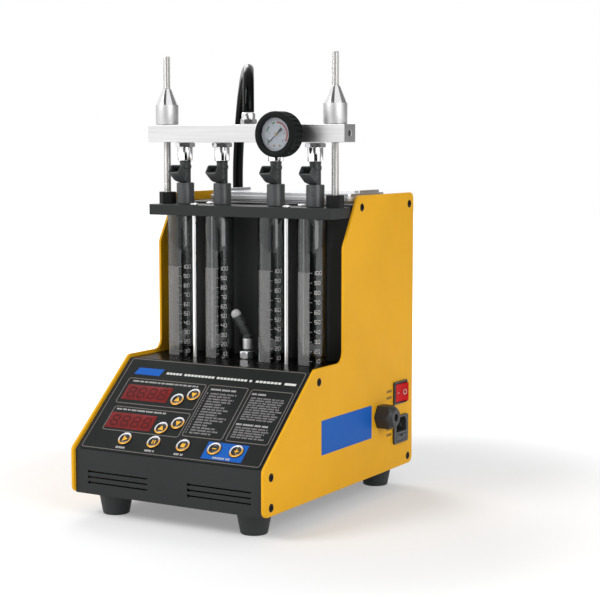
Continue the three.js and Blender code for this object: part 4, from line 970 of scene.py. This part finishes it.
def glass_tube(number):
    """A ring of outer and inner wall about the tube's axis, whose rims are half circles."""
    node = f"tube_{number}"
    bottom, top = low(node)[2], high(node)[2]
    half = TUBE_WALL / 2
    a = np.linspace(0, math.pi, 9)
    r, rise = TUBE_RADIUS - half + half * np.cos(a), half * np.sin(a)
    upper = np.column_stack([r, top - half + rise])
    lower = np.column_stack([r, bottom + half - rise])[::-1]
    profile = np.vstack([upper, lower, upper[:1]])
    stand_in(f"glass_tube_{number}", placed(revolve(profile, FINE_ROUND), on_axis(node)), GLASS,
             node, 60.0)


def arc_strip(radius, start, end, z, width, steps):
    """Thin strip on a cylinder between two angles from the front, width tall at height z:
    x = r sin(a), y = -r cos(a)."""
    angle = np.radians(np.linspace(start, end, steps))[:, None]
    r = radius + np.array([0, INK_LIFT, INK_LIFT, 0])
    height = (z + width * np.array([-0.5, -0.5, 0.5, 0.5])) * np.ones_like(angle)
    return capped_strip(np.stack([r * np.sin(angle), -r * np.cos(angle), height], -1))


SEGMENTS = {
    "top": ((0, 1), (1, 1)), "middle": ((0, 0.5), (1, 0.5)), "bottom": ((0, 0), (1, 0)),
    "upper_left": ((0, 0.5), (0, 1)), "upper_right": ((1, 0.5), (1, 1)),
    "lower_left": ((0, 0), (0, 0.5)), "lower_right": ((1, 0), (1, 0.5)),
}
DIGITS = [
    "top bottom upper_left upper_right lower_left lower_right",
    "upper_right lower_right",
    "top middle bottom upper_right lower_left",
    "top middle bottom upper_right lower_right",
    "middle upper_left upper_right lower_right",
    "top middle bottom upper_left lower_right",
    "top middle bottom upper_left lower_left lower_right",
    "top upper_right lower_right",
    "top middle bottom upper_left upper_right lower_left lower_right",
    "top middle bottom upper_left upper_right lower_right",
]


def number_strokes(text, height, gap=0.35, slim=0.5):
    """Straight strokes of plain figures, centred on the origin."""
    width = height * slim
    step = width + height * gap
    strokes = []
    for i, figure in enumerate(text):
        x = (i - (len(text) - 1) / 2) * step - width / 2
        for key in DIGITS[int(figure)].split():
            (x0, y0), (x1, y1) = SEGMENTS[key]
            strokes.append((
                (x + x0 * width, (y0 - 0.5) * height), (x + x1 * width, (y1 - 0.5) * height),
            ))
    return strokes


def wrapped(shell, radius, at, z):
    """A flat shell laid on a cylinder: x becomes arc length, y height, z depth."""
    points, faces = shell
    points = np.asarray(points, float)
    angle = math.radians(at) + points[:, 0] / radius
    r = radius + points[:, 2]
    return np.stack([r * np.sin(angle), -r * np.cos(angle), z + points[:, 1]], -1), faces


def tube_scale(number):
    """Even ticks, longer at each five and ten, and the figures of the tens."""
    node = f"tube_{number}"
    top = high("front_shell")[2] + SCALE_TOP
    shells = []
    for i in range(TICKS):
        end = LONG_TICK if i % 10 == 0 else MIDDLE_TICK if i % 5 == 0 else LAST_TICK
        z = top - i * DECADE / 10
        shells.append(arc_strip(TUBE_RADIUS, FIRST_TICK, end, z, TICK_WIDTH, 9))
    for i in range(DECADES):
        for a, b in number_strokes(str(100 - 10 * i), *FIGURE):
            stroke = bar_shape(a, b, FIGURE_STROKE, INK_LIFT)
            shells.append(wrapped(stroke, TUBE_RADIUS, FIGURE_AT, top - i * DECADE))
    shell = placed(joined(shells), on_axis(node))
    addition(f"tube_scale_{number}", shell, PALE_INK, node, 20.0)


def tube_seal(number):
    """Rubber seal inside the foot of a tube, its top hollowed."""
    node = f"tube_{number}"
    bottom, top = low(node)[2] + 0.3, high("front_shell")[2] + SEAL_RISE
    profile = [
        (0, bottom), (12.9, bottom), (13.3, bottom + 0.6), (13.3, top - 0.5), (12.9, top),
        (11.0, top), (9.8, top - 1.6), (0, top - 1.8),
    ]
    shell = placed(revolve(profile, MEDIUM_ROUND), on_axis(node))
    addition(f"tube_seal_{number}", shell, SEAL_RUBBER, node)


for number in range(1, 5):
    glass_tube(number)
    tube_scale(number)
    tube_seal(number)


# Control face: x across, t up the slope, n out of it
PRESS = next(j for j in frame["joints"] if j["name"] == "start_press")["axis"]
SLOPE = math.atan2(PRESS[1], -PRESS[2])
FILM_THICKNESS = 0.8
FILM_EDGE = 3.2
FACE_ORIGIN = np.array([
    middle("front_shell")[0],
    low("control_overlay")[1] - FILM_EDGE * math.cos(SLOPE),
    low("control_overlay")[2] + FILM_THICKNESS * math.cos(SLOPE) - FILM_EDGE * math.sin(SLOPE),
])
FACE_TURN = Matrix.Rotation(SLOPE, 4, "X")
# thickness of print, and the corner radius of its lines
PRINT = 0.06
LINE_CORNER = 3.0


def on_face(shell, x=0.0, t=0.0, lift=0.0):
    """A flat shell put on the control face at x and t."""
    return placed(placed(shell, (x, t, lift)), FACE_ORIGIN, FACE_TURN)


def face_piece(name, shells, finish):
    """Flat shells on the control face as one piece."""
    addition(name, joined([on_face(s) for s in shells]), finish, "control_overlay")


def line_loop(width, height, line, at):
    """Closed printed line: a thin flat section carried round a rounded rectangle."""
    outer = rounded_rectangle(width, height, LINE_CORNER)
    inner = rounded_rectangle(width - 2 * line, height - 2 * line, LINE_CORNER - line)
    section = ((outer, 0.0), (outer, PRINT), (inner, PRINT), (inner, 0.0))
    rings = [np.column_stack([flat, np.full(len(flat), z)]) for flat, z in section]
    points = np.stack(rings, 1) + np.array([*at, 0.0])
    return points.reshape(-1, 3), grid_faces(len(outer), 4, True, True).tolist()


OUTER_FRAME = (213.0, 120.5)
FRAMES = [
    # left, right, low, high
    (-97.0, 0.7, 65.0, 99.5),
    (-94.0, 0.7, 29.3, 61.0),
    (3.0, 51.0, 32.0, 100.0),
    (54.5, 103.5, 32.0, 99.0),
]
# shares of a block's height, and the least and one past the most blocks of a group
BLOCK_WIDTHS = (0.35, 0.75)
BLOCK_GAP = 0.22
GROUP_GAP = 0.55
BLOCKS_IN_GROUP = (3, 8)


def printed_frames():
    """A line round each field of the overlay and one round them all."""
    loops = []
    for left, right, bottom, top in FRAMES:
        at = ((left + right) / 2, (bottom + top) / 2)
        loops.append(line_loop(right - left, top - bottom, 0.95, at))
    loops.append(line_loop(*OUTER_FRAME, 0.85, (0.0, 65.5)))
    face_piece("printed_frames", loops, LINE_INK)


def block_row(left, right, t, height, draw):
    """Short upright blocks in groups from left to right, their widths and numbers drawn by lot."""
    shells, x = [], left
    while x < right - height * 0.3:
        for _ in range(draw.integers(*BLOCKS_IN_GROUP)):
            width = height * draw.uniform(*BLOCK_WIDTHS)
            if x + width > right:
                break
            shells.append(bar_shape((x, t), (x + width, t), height, PRINT))
            x += width + height * BLOCK_GAP
        x += height * GROUP_GAP
    return shells


TITLE_GROUPS = [
    # from, to
    (-54.7, -35.0), (-32.4, 5.3), (7.6, 44.7), (46.8, 50.4), (54.4, 84.7),
]
TITLE_HEIGHT = 109.2
TITLE_PITCH = 4.3


def printed_title():
    """A row of white blocks, a solid white bar at its end and a bare blue patch before it."""
    blocks = []
    for left, right in TITLE_GROUPS:
        count = max(round((right - left) / TITLE_PITCH), 1)
        pitch = (right - left) / count
        for x in left + pitch * np.arange(count):
            end = (x + pitch * 0.78, TITLE_HEIGHT)
            blocks.append(bar_shape((x, TITLE_HEIGHT), end, 2.6, PRINT))
    blocks.append(bar_shape((88.0, TITLE_HEIGHT), (101.0, TITLE_HEIGHT), 2.8, PRINT))
    face_piece("printed_title", blocks, WHITE_INK)
    low_edge, high_edge = TITLE_HEIGHT - 4.6, TITLE_HEIGHT + 4.6
    patch = [(-94.0, low_edge), (-62.0, low_edge), (-59.5, high_edge), (-91.5, high_edge)]
    face_piece("title_patch", [prism(patch, PRINT)], BLUE_INK)


def printed_rows():
    """Rows of plain blocks in the two right frames, and paler ones over and under the fields."""
    draw = np.random.default_rng(7)
    rows, headings = [], []
    left, right, bottom, top = FRAMES[2]
    headings += block_row(left + 5.0, right - 12.0, top - 6.0, 2.2, draw)
    t = top - 11.5
    while t > bottom + 5.0:
        rows += block_row(left + 2.6, left + 4.4, t, 1.8, draw)
        rows += block_row(left + 7.0, right - 4.0 - draw.uniform(2, 20), t, 1.9, draw)
        t -= 3.4
    left, right, bottom, top = FRAMES[3]
    headings += block_row(left + 3.0, left + 22.0, top - 6.0, 2.2, draw)
    headings += block_row(left + 3.0, right - 8.0, bottom + 22.0, 2.2, draw)
    for t, end in ((top - 11.0, bottom + 27.0), (bottom + 18.0, bottom + 5.0)):
        while t > end:
            rows += block_row(left + 4.0, right - 3.0 - draw.uniform(0, 8), t, 1.8, draw)
            t -= 3.0
    headings += block_row(-90.0, -8.0, 95.4, 1.9, draw)
    headings += block_row(-90.0, -28.0, 57.2, 1.9, draw)
    for node in ("button_start", "button_pause", "button_stop"):
        x, t = button_centre(node)
        headings += block_row(x - 5.6, x + 5.6, t - 11.0, 2.3, draw)
    headings += block_row(51.0, 72.0, 10.6, 2.3, draw)
    face_piece("printed_rows", rows, TEXT_INK)
    face_piece("printed_headings", headings, PALE_INK)


def button_centre(node):
    """Where the button's axis meets the control face, from the middle of its box."""
    x, t, _ = np.array(FACE_TURN.inverted().to_3x3()) @ (middle(node) - FACE_ORIGIN)
    return x, t


def pierced_plate(left, right, bottom, top, hole, radius, thickness):
    """A rectangle with a round hole: its grid runs round the hole's middle from the circle out to
    the rectangle, r = the distance along the ray to the nearest side."""
    corners = [math.atan2(y - hole[1], x - hole[0]) for x in (left, right) for y in (bottom, top)]
    angle = np.unique(np.concatenate([np.linspace(-math.pi, math.pi, 61)[:-1], corners]))
    ray = np.stack([np.cos(angle), np.sin(angle)], -1)
    with np.errstate(divide="ignore"):
        reach_x = np.where(ray[:, 0] > 0, right - hole[0], left - hole[0]) / ray[:, 0]
        reach_y = np.where(ray[:, 1] > 0, top - hole[1], bottom - hole[1]) / ray[:, 1]
    outer = ray * np.minimum(np.abs(reach_x), np.abs(reach_y))[:, None]
    section = ((ray * radius, 0.0), (outer, 0.0), (outer, thickness), (ray * radius, thickness))
    rings = [np.column_stack([flat + hole, np.full(len(flat), z)]) for flat, z in section]
    return np.concatenate(rings), grid_faces(4, len(angle), wrap_rows=True, wrap_columns=True)


PATCH_HOLE = 8.0
# left, right, low, high
PRESSURE_PATCH = (37.95, 84.45, 8.3, 29.3)


def pressure_patch():
    """Two plates side by side, each pierced round a pressure button."""
    minus, plus = [button_centre("button_pressure_" + way) for way in ("minus", "plus")]
    left, right, bottom, top = PRESSURE_PATCH
    border = (minus[0] + plus[0]) / 2
    plates = [
        pierced_plate(start, end, bottom, top, hole, PATCH_HOLE, PRINT / 2)
        for start, end, hole in ((left, border, minus), (border, right, plus))
    ]
    face_piece("pressure_patch", plates, BLUE_INK)


printed_frames()
pressure_patch()
printed_title()
printed_rows()


# Displays
# middle, width, height
DISPLAY = (DISPLAY_MIDDLE, 56.5, 20.0)
DISPLAY_ROWS = (80.5, 42.8)
FIGURE_PITCH = 12.9
FIGURE_SIZE = (7.8, 12.4)


def displays():
    """Two red windows with rounded edges, and four figures of seven bars and a dot in each."""
    x, width, height = DISPLAY
    windows, figures = [], []
    for t in DISPLAY_ROWS:
        windows.append(placed(slab(width, height, 0.4, soft_levels(-0.6, 0.1, 0.2)), (x, t, 0)))
        for i in range(4):
            centre = np.array([x + (i - 1.5) * FIGURE_PITCH, t])
            for key in DIGITS[8].split():
                a, b = [centre + (np.array(end) - 0.5) * FIGURE_SIZE for end in SEGMENTS[key]]
                short = (b - a) / np.linalg.norm(b - a) * 0.8
                figures.append(placed(bar_shape(a + short, b - short, 1.7, PRINT), (0, 0, 0.1)))
            dot = revolve([(0, 0), (0.8, 0), (0.8, PRINT), (0, PRINT)], 12)
            figures.append(placed(dot, (centre[0] + 6.1, t - 6.2, 0.1)))
    face_piece("display_windows", windows, DISPLAY_RED)
    face_piece("display_digits", figures, DIGIT_RED)


displays()


# Buttons: dark cap, gold ring with a painted silver highlight at its upper left, gold mark
BUTTON_RADIUS = 7.7
BUTTON_PROUD = 1.0
MARKS = {
    "button_pulse_up": "up", "button_pulse_down": "down", "button_time_up": "up",
    "button_time_down": "down", "button_start": "right", "button_pause": "pause",
    "button_stop": "square", "button_pressure_minus": "minus", "button_pressure_plus": "plus",
}
RIGHT_MARK = [(-2.3, -3.2), (3.3, 0.0), (-2.3, 3.2)]
MARK_LIFT = 0.08
# The ring is gold; its silver upper left is a painted highlight.
RING_GOLD_PAINTED_HIGHLIGHT = two_toned("ring_gold_painted_highlight", (0.6, 0.6, 0.62), (0.62, 0.3, 0.03), 0.34, 0.6)
# The ring's side away from the light, where no highlight is painted
RING_SHADED_SLANT = math.radians(-62)


def mark_shells(kind):
    """A triangle, a square, a pair of bars, a bar or a cross on the middle of a button."""
    turns = {"right": 0, "up": 90, "down": -90}
    if kind in turns:
        return [placed(prism(RIGHT_MARK, MARK_LIFT), turn=turn_about("Z", turns[kind]))]
    if kind == "square":
        return [prism([(-2.2, -2.2), (2.2, -2.2), (2.2, 2.2), (-2.2, 2.2)], MARK_LIFT)]
    if kind == "pause":
        return [bar_shape((x, -2.2), (x, 2.2), 1.3, MARK_LIFT) for x in (-1.3, 1.3)]
    shells = [bar_shape((-2.4, 0), (2.4, 0), 1.1, MARK_LIFT)]
    if kind == "plus":
        shells += [bar_shape((0, t), (0, t + 1.85), 1.1, MARK_LIFT) for t in (0.55, -2.4)]
    return shells


def add_tone(piece, centre):
    """The painted highlight's falloff is half of one plus the cosine of the angle round the ring from its slanted
    line: 0 at the upper left, where the ring is painted a silver highlight, and 1 at the lower right, where it
    shows its gold.
    """
    mesh = piece.data
    points = np.empty(len(mesh.vertices) * 3)
    mesh.vertices.foreach_get("co", points)
    away = points.reshape(-1, 3) / MM - centre
    flat = away @ np.array(FACE_TURN.to_3x3())
    angle = np.arctan2(flat[:, 1], flat[:, 0])
    highlight_falloff = 0.5 + 0.5 * np.cos(angle - RING_SHADED_SLANT)
    mesh.attributes.new("highlight_falloff", "FLOAT", "POINT").data.foreach_set("value", highlight_falloff.astype(np.float32))


def make_button(node, kind):
    """Revolved cap with a dished top, a revolved ring let into its edge, and a mark."""
    x, t = button_centre(node)
    radius, top = BUTTON_RADIUS, BUTTON_PROUD
    cap = [
        (0, -4.6), (8.6, -4.6), (8.6, -3.4), (radius, -3.4), (radius, top - 0.5),
        (radius - 0.15, top - 0.15), (radius - 0.4, top), (5.4, top), (5.0, top - 0.35),
        (3.0, top - 0.5), (0, top - 0.5),
    ]
    ring = [
        (5.5, top - 0.2), (5.6, top + 0.02), (6.0, top + 0.12), (6.5, top + 0.16),
        (7.0, top + 0.12), (7.35, top + 0.02), (7.5, top - 0.2), (5.5, top - 0.2),
    ]
    cap, ring = [on_face(revolve(p, MEDIUM_ROUND), x, t) for p in (cap, ring)]
    stand_in(node + "_cap", cap, GLOSS_BLACK, node, 40.0)
    ring = addition(node + "_ring", ring, RING_GOLD_PAINTED_HIGHLIGHT, node, 40.0)
    add_tone(ring, on_face(([[0, 0, 0]], []), x, t)[0][0])
    marks = [on_face(s, x, t, top - 0.5) for s in mark_shells(kind)]
    addition(node + "_mark", joined(marks), GOLD_INK, node)


for node, kind in MARKS.items():
    make_button(node, kind)


# Screws in the side panels
SCREW_RADIUS = 4.2


def socket_screw(radius, depth, height):
    """Button head: a shallow dome round a hexagonal socket, r = the socket's width times the
    cosine of a twelfth of a turn over that of the angle to the nearest flat."""
    a = np.linspace(0, 1.1, 6)
    dome = np.column_stack([radius * np.cos(a), height * np.sin(a)])
    rim, reach = dome[-1, 1], radius * 0.5
    profile = [
        (0, -0.6), (radius, -0.6), *dome, (reach, rim), (reach, rim - depth), (0, rim - depth),
    ]

    def six_sides(angle, h, r):
        corner = np.cos(math.pi / 6) / np.cos((angle % (math.pi / 3)) - math.pi / 6)
        return np.where((r < reach * 1.01) & (r > 0.01), r * (corner - 1), 0.0)

    return revolve(profile, SMALL_ROUND, six_sides)


def panel_screws():
    """Six screws in each side panel, facing out."""
    panels = (("right", PANEL_FACE, 90), ("left", low("side_panel_left")[0], -90))
    for side, x, degrees in panels:
        screws = [
            placed(socket_screw(SCREW_RADIUS, 1.0, 0.9), (x, PANEL_FRONT + y, PANEL_BOTTOM + z),
                   turn_about("Y", degrees))
            for y, z in PANEL_SCREWS
        ]
        addition(f"panel_screws_{side}", joined(screws), SCREW_BLACK, f"side_panel_{side}")


panel_screws()


# Plain patch and marks on the right panel
PANEL_TURN = turn_about("Z", 90) @ turn_about("X", 90)
# from the front, from below, width, height
PATCH = (164.2, 59.7, 107.6, 35.3)
PANEL_ROWS = ((252.5, 86.5), (252.5, 79.5), (252.5, 45.5), (252.5, 39.0))


def on_panel(shell, y=0.0, z=0.0):
    """A flat shell put on the right panel, y from its front edge and z over its lower one."""
    return placed(shell, (PANEL_FACE, PANEL_FRONT + y, PANEL_BOTTOM + z), PANEL_TURN)


def side_patch():
    """A thin slab on the right panel."""
    y, z, width, height = PATCH
    shell = on_panel(slab(width, height, 0.8, [(0, 0), (0, 0.12)]), y, z)
    addition("side_patch", shell, BLUE_INK, "side_panel_right")


def panel_marks():
    """Two pairs of short brown rows beside the switch and under the signal socket."""
    shells = [
        bar_shape((y + i * 3.0, z), (y + i * 3.0 + 2.3, z), 3.0, PRINT)
        for y, z in PANEL_ROWS for i in range(4)
    ]
    addition("panel_marks", on_panel(joined(shells)), PANEL_INK, "side_panel_right")


side_patch()
panel_marks()


# Pressure gauge, facing the front
GAUGE = middle("gauge_boot")
GAUGE_FRONT = low("gauge_boot")[1]
GAUGE_TURN = turn_about("X", 90)
BOOT_RADIUS = 23.2
RIBS = 26
RIB_DEPTH = 0.95


def on_gauge(shell, depth=0.0):
    """A shell with its axis out of the gauge's face, depth behind the boot's front."""
    return placed(placed(shell, (0, 0, -depth)), (GAUGE[0], GAUGE_FRONT, GAUGE[2]), GAUGE_TURN)


def rubber_boot():
    """r falls by a rounded square wave of the angle along the ribbed band."""
    radius = BOOT_RADIUS
    profile = divided([
        (11.8, -20.0), (22.0, -20.0), (22.9, -19.4), (radius, -18.4), (radius, -5.6),
        (radius, -4.4), (radius, -2.6), (22.9, -1.2), (22.0, -0.4), (20.6, 0.0), (18.6, 0.0),
        (17.4, -0.4), (16.8, -1.2), (16.8, -2.4), (19.9, -2.4), (19.9, -17.4), (11.8, -17.4),
        (11.8, -20.0),
    ], lambda start, end: start[0] == end[0] == radius and abs(end[1] - start[1]) > 5, 6)

    def ribs(angle, height, r):
        wave = np.tanh(2.5 * np.cos(RIBS * angle)) * RIB_DEPTH - RIB_DEPTH
        band = (height > -18.9) & (height < -5.0) & (r > 22.0)
        return np.where(band, wave, 0.0)

    shell = on_gauge(revolve(profile, RIBS * 12, ribs))
    stand_in("ribbed_boot", shell, BOOT_RUBBER, "gauge_boot", 50.0)


soften("gauge_case", PLASTIC, 0.2)
rubber_boot()

# Dial and hand, at clock angles from the top
DIAL_DEPTH = 6.5
DIAL_RADIUS = 17.8
DIAL_START, DIAL_SWEEP, DIAL_TICKS = -135, 270, 50
DIAL_PRINT = 0.04
GREEN_DASHES = ((-128, -113), (-77, -48), (-29, -10))
HAND_CLOCK = 228.0
HAND_DEPTH = DIAL_DEPTH - 1.0


def polar(radius, clock):
    """Point at an angle in degrees clockwise from the top of the dial."""
    a = math.radians(clock)
    return radius * math.sin(a), radius * math.cos(a)


def arc_band(inner, outer, start, end, steps):
    """Flat band between two radii and two clock angles: x = r sin(a), y = r cos(a)."""
    clock = np.radians(np.linspace(start, end, steps))[:, None]
    r = np.array([inner, inner, outer, outer])
    z = np.array([0, PRINT, PRINT, 0]) * np.ones_like(clock)
    return capped_strip(np.stack([r * np.sin(clock), r * np.cos(clock), z], -1))


def dial_piece(name, shells, finish):
    """Flat shells on the dial as one piece."""
    shell = on_gauge(joined(shells), DIAL_DEPTH)
    addition(name, shell, finish, "gauge_case")


def gauge_dial():
    """A revolved disc with ticks and figures at even clock angles, three green dashes, a red
    band and two brass screw heads."""
    disc = revolve([(0, -0.3), (DIAL_RADIUS, -0.3), (DIAL_RADIUS, 0), (0, 0)], FINE_ROUND)
    dial_piece("dial_face", [disc], DIAL_WHITE)
    marks = []
    for i in range(DIAL_TICKS + 1):
        clock = DIAL_START + DIAL_SWEEP * i / DIAL_TICKS
        inner, width = (13.6, 0.3) if i % 5 == 0 else (14.2, 0.16)
        marks.append(bar_shape(polar(inner, clock), polar(15.2, clock), width, DIAL_PRINT))
    for number in range(0, 11, 2):
        at = (*polar(9.0, DIAL_START + DIAL_SWEEP * number / 10), 0)
        for a, b in number_strokes(str(number), 1.8):
            marks.append(placed(bar_shape(a, b, 0.26, DIAL_PRINT), at))
    dial_piece("dial_marks", marks, DIAL_INK)
    greens = [arc_band(11.2, 12.7, start, end, 12) for start, end in GREEN_DASHES]
    dial_piece("dial_green", greens, GREEN_INK)
    dial_piece("dial_red", [arc_band(11.2, 12.9, 0, 124, 48)], RED_INK)
    head = revolve([(0, 0), (1.2, 0), (1.0, 0.5), (0, 0.6)], 24)
    dial_piece("dial_screws", [placed(head, (x, -11.4, 0)) for x in (-3.4, 3.4)], BRASS)


def gauge_hand():
    """A thin hand with a broad tail, and a brass hub on its axis."""
    stretches = ((-8.6, -4.6, 2.6), (-4.6, 0, 1.5), (0, 13.4, 0.8))
    bars = [
        bar_shape(polar(start, HAND_CLOCK), polar(end, HAND_CLOCK), width, 0.4)
        for start, end, width in stretches
    ]
    hub = revolve([(0, 0), (1.7, 0), (1.7, 0.7), (1.2, 1.0), (0, 1.0)], 32)
    stand_in("needle_hand", on_gauge(joined(bars), HAND_DEPTH), GLOSS_BLACK, "gauge_needle")
    addition("needle_hub", on_gauge(placed(hub, (0, 0, 0.4)), HAND_DEPTH), BRASS, "gauge_needle")


def gauge_glass():
    """A flat disc in front of the hand."""
    disc = [(0, -1.0), (DIAL_RADIUS, -1.0), (DIAL_RADIUS, 0.0), (0, 0.0)]
    stand_in("gauge_glass", on_gauge(revolve(disc, FINE_ROUND), 2.6), LENS, "gauge_lens")


gauge_dial()
gauge_hand()
gauge_glass()


# Stage and light
FLOOR_REACH = 6000.0
FLOOR_LIT = (0.9, 0.9, 0.9)
FLOOR_SEEN = (0.62, 0.62, 0.62)
FLOOR_GLOW = (0.27, 1.0)
WORLD_GREY = (0.5, 0.505, 0.51)
CARD_STEPS = 13
CARDS = {
    # from, to, low, high, shade, distance
    "tube_edge_card": (-150, -78, 15, 285, 0.3, 700.0),
    "tube_left_card": (-78, 17, 15, 285, 1.6, 700.0),
    "tube_card": (17, 62, 15, 285, 0.0, 700.0),
    "tube_right_card": (62, 150, 15, 285, 1.4, 700.0),
    "middle_card": (0, 36, 140, 700, 0.06, 1650.0),
    "upper_card": (-28, 20, 700, 3600, 0.14, 1650.0),
    "right_card": (108, 172, -20, 2600, 0.24, 1650.0),
}
LIGHTS = {
    # place, target, width, height, power
    "rim": ((-1200, 1000, 1400), (0, 0, 150), 900, 900, 14),
    "key": ((-900, -1500, 1500), (0, 0, 200), 900, 900, 26),
    "fill": ((1500, -700, 900), (0, 0, 200), 900, 1200, 14),
}


def shown_rays(tree):
    """1 for rays that show the background: from the camera, off gloss and through glass."""
    ray = tree.nodes.new("ShaderNodeLightPath")
    total = ray.outputs["Is Camera Ray"]
    for name in ("Is Glossy Ray", "Is Transmission Ray"):
        larger = tree.nodes.new("ShaderNodeMath")
        larger.operation = "MAXIMUM"
        tree.links.new(total, larger.inputs[0])
        tree.links.new(ray.outputs[name], larger.inputs[1])
        total = larger.outputs[0]
    return total


def stage_floor():
    """Large plain floor: bright for the light that it throws back, a shade darker where it is
    seen, so that it keeps the part's shadow, and running out to white further off."""
    outline = np.array([(-1, -1, 0), (1, -1, 0), (1, 1, 0), (-1, 1, 0)]) * FLOOR_REACH * MM
    mesh = bpy.data.meshes.new("stage_floor")
    mesh.from_pydata(outline.tolist(), [], [(0, 1, 2, 3)])
    finish, tree, main = shader("stage_white", FLOOR_LIT, 0.9, specular=0.1)
    shown = shown_rays(tree)
    color = tree.nodes.new("ShaderNodeMix")
    color.data_type = "RGBA"
    color.inputs["A"].default_value = (*FLOOR_LIT, 1)
    color.inputs["B"].default_value = (*FLOOR_SEEN, 1)
    tree.links.new(shown, color.inputs["Factor"])
    tree.links.new(color.outputs["Result"], main.inputs["Base Color"])
    place, length = tree.nodes.new("ShaderNodeTexCoord"), tree.nodes.new("ShaderNodeVectorMath")
    length.operation = "LENGTH"
    tree.links.new(place.outputs["Object"], length.inputs[0])
    further = tree.nodes.new("ShaderNodeMapRange")
    further.interpolation_type = "SMOOTHSTEP"
    for name, value in zip(("From Min", "From Max", "To Min", "To Max"), (0.3, 0.8, *FLOOR_GLOW)):
        further.inputs[name].default_value = value
    tree.links.new(length.outputs["Value"], further.inputs["Value"])
    glow = tree.nodes.new("ShaderNodeEmission")
    tree.links.new(further.outputs["Result"], glow.inputs["Strength"])
    both, nothing = tree.nodes.new("ShaderNodeAddShader"), tree.nodes.new("ShaderNodeMixShader")
    tree.links.new(shown, nothing.inputs["Fac"])
    tree.links.new(glow.outputs[0], nothing.inputs[2])
    tree.links.new(main.outputs[0], both.inputs[0])
    tree.links.new(nothing.outputs[0], both.inputs[1])
    tree.links.new(both.outputs[0], tree.nodes["Material Output"].inputs["Surface"])
    put_in_scene("stage_floor", mesh, finish)


def gloss_card(name, start, end, bottom, top, shade, distance):
    """A strip of a cylinder round the object between two angles from the front, seen only in
    gloss and through glass, as a studio's flags and reflectors are."""
    angle = np.radians(np.linspace(start, end, CARD_STEPS))
    ring = np.stack([distance * np.sin(angle), -distance * np.cos(angle)], -1)
    edges = [np.column_stack([ring, np.full(CARD_STEPS, height)]) for height in (bottom, top)]
    points = np.concatenate(edges)
    mesh = bpy.data.meshes.new(name)
    mesh.from_pydata((points * MM).tolist(), [], grid_faces(2, CARD_STEPS).tolist())
    finish, tree, main = shader(name, (0, 0, 0), 1.0, specular=0.0)
    main.inputs["Emission Color"].default_value = (shade, shade, shade, 1)
    main.inputs["Emission Strength"].default_value = 1.0
    card = put_in_scene(name, mesh, finish)
    for rays in ("camera", "diffuse", "volume_scatter", "shadow"):
        setattr(card, "visible_" + rays, False)


def area_light(name, place, target, width, height, power):
    """A white rectangle of light at a place, aimed at a target."""
    light = bpy.data.lights.new(name, "AREA")
    light.shape = "RECTANGLE"
    light.size, light.size_y = width * MM, height * MM
    light.energy = power
    lamp = bpy.data.objects.new(name, light)
    bpy.context.scene.collection.objects.link(lamp)
    lamp.location = Vector(place) * MM
    aim = Vector(target) * MM - lamp.location
    lamp.rotation_euler = aim.to_track_quat("-Z", "Y").to_euler()


def studio():
    """Soft grey light from all round, which is seen as plain white."""
    world = bpy.data.worlds.new("studio")
    bpy.context.scene.world = world
    world.use_nodes = True
    tree = world.node_tree
    tree.nodes.clear()
    out = tree.nodes.new("ShaderNodeOutputWorld")
    mix = tree.nodes.new("ShaderNodeMixShader")
    light, seen = tree.nodes.new("ShaderNodeBackground"), tree.nodes.new("ShaderNodeBackground")
    light.inputs["Color"].default_value = (*WORLD_GREY, 1)
    seen.inputs["Color"].default_value = (1, 1, 1, 1)
    tree.links.new(shown_rays(tree), mix.inputs["Fac"])
    tree.links.new(light.outputs[0], mix.inputs[1])
    tree.links.new(seen.outputs[0], mix.inputs[2])
    tree.links.new(mix.outputs[0], out.inputs[0])


stage_floor()
studio()
for name, values in CARDS.items():
    gloss_card(name, *values)
for name, values in LIGHTS.items():
    area_light(name, *values)
bpy.context.scene.view_settings.view_transform = "Standard"


def corners(box):
    """The lowest and highest corner of a box as plain lists."""
    return [[float(c) for c in corner] for corner in box]
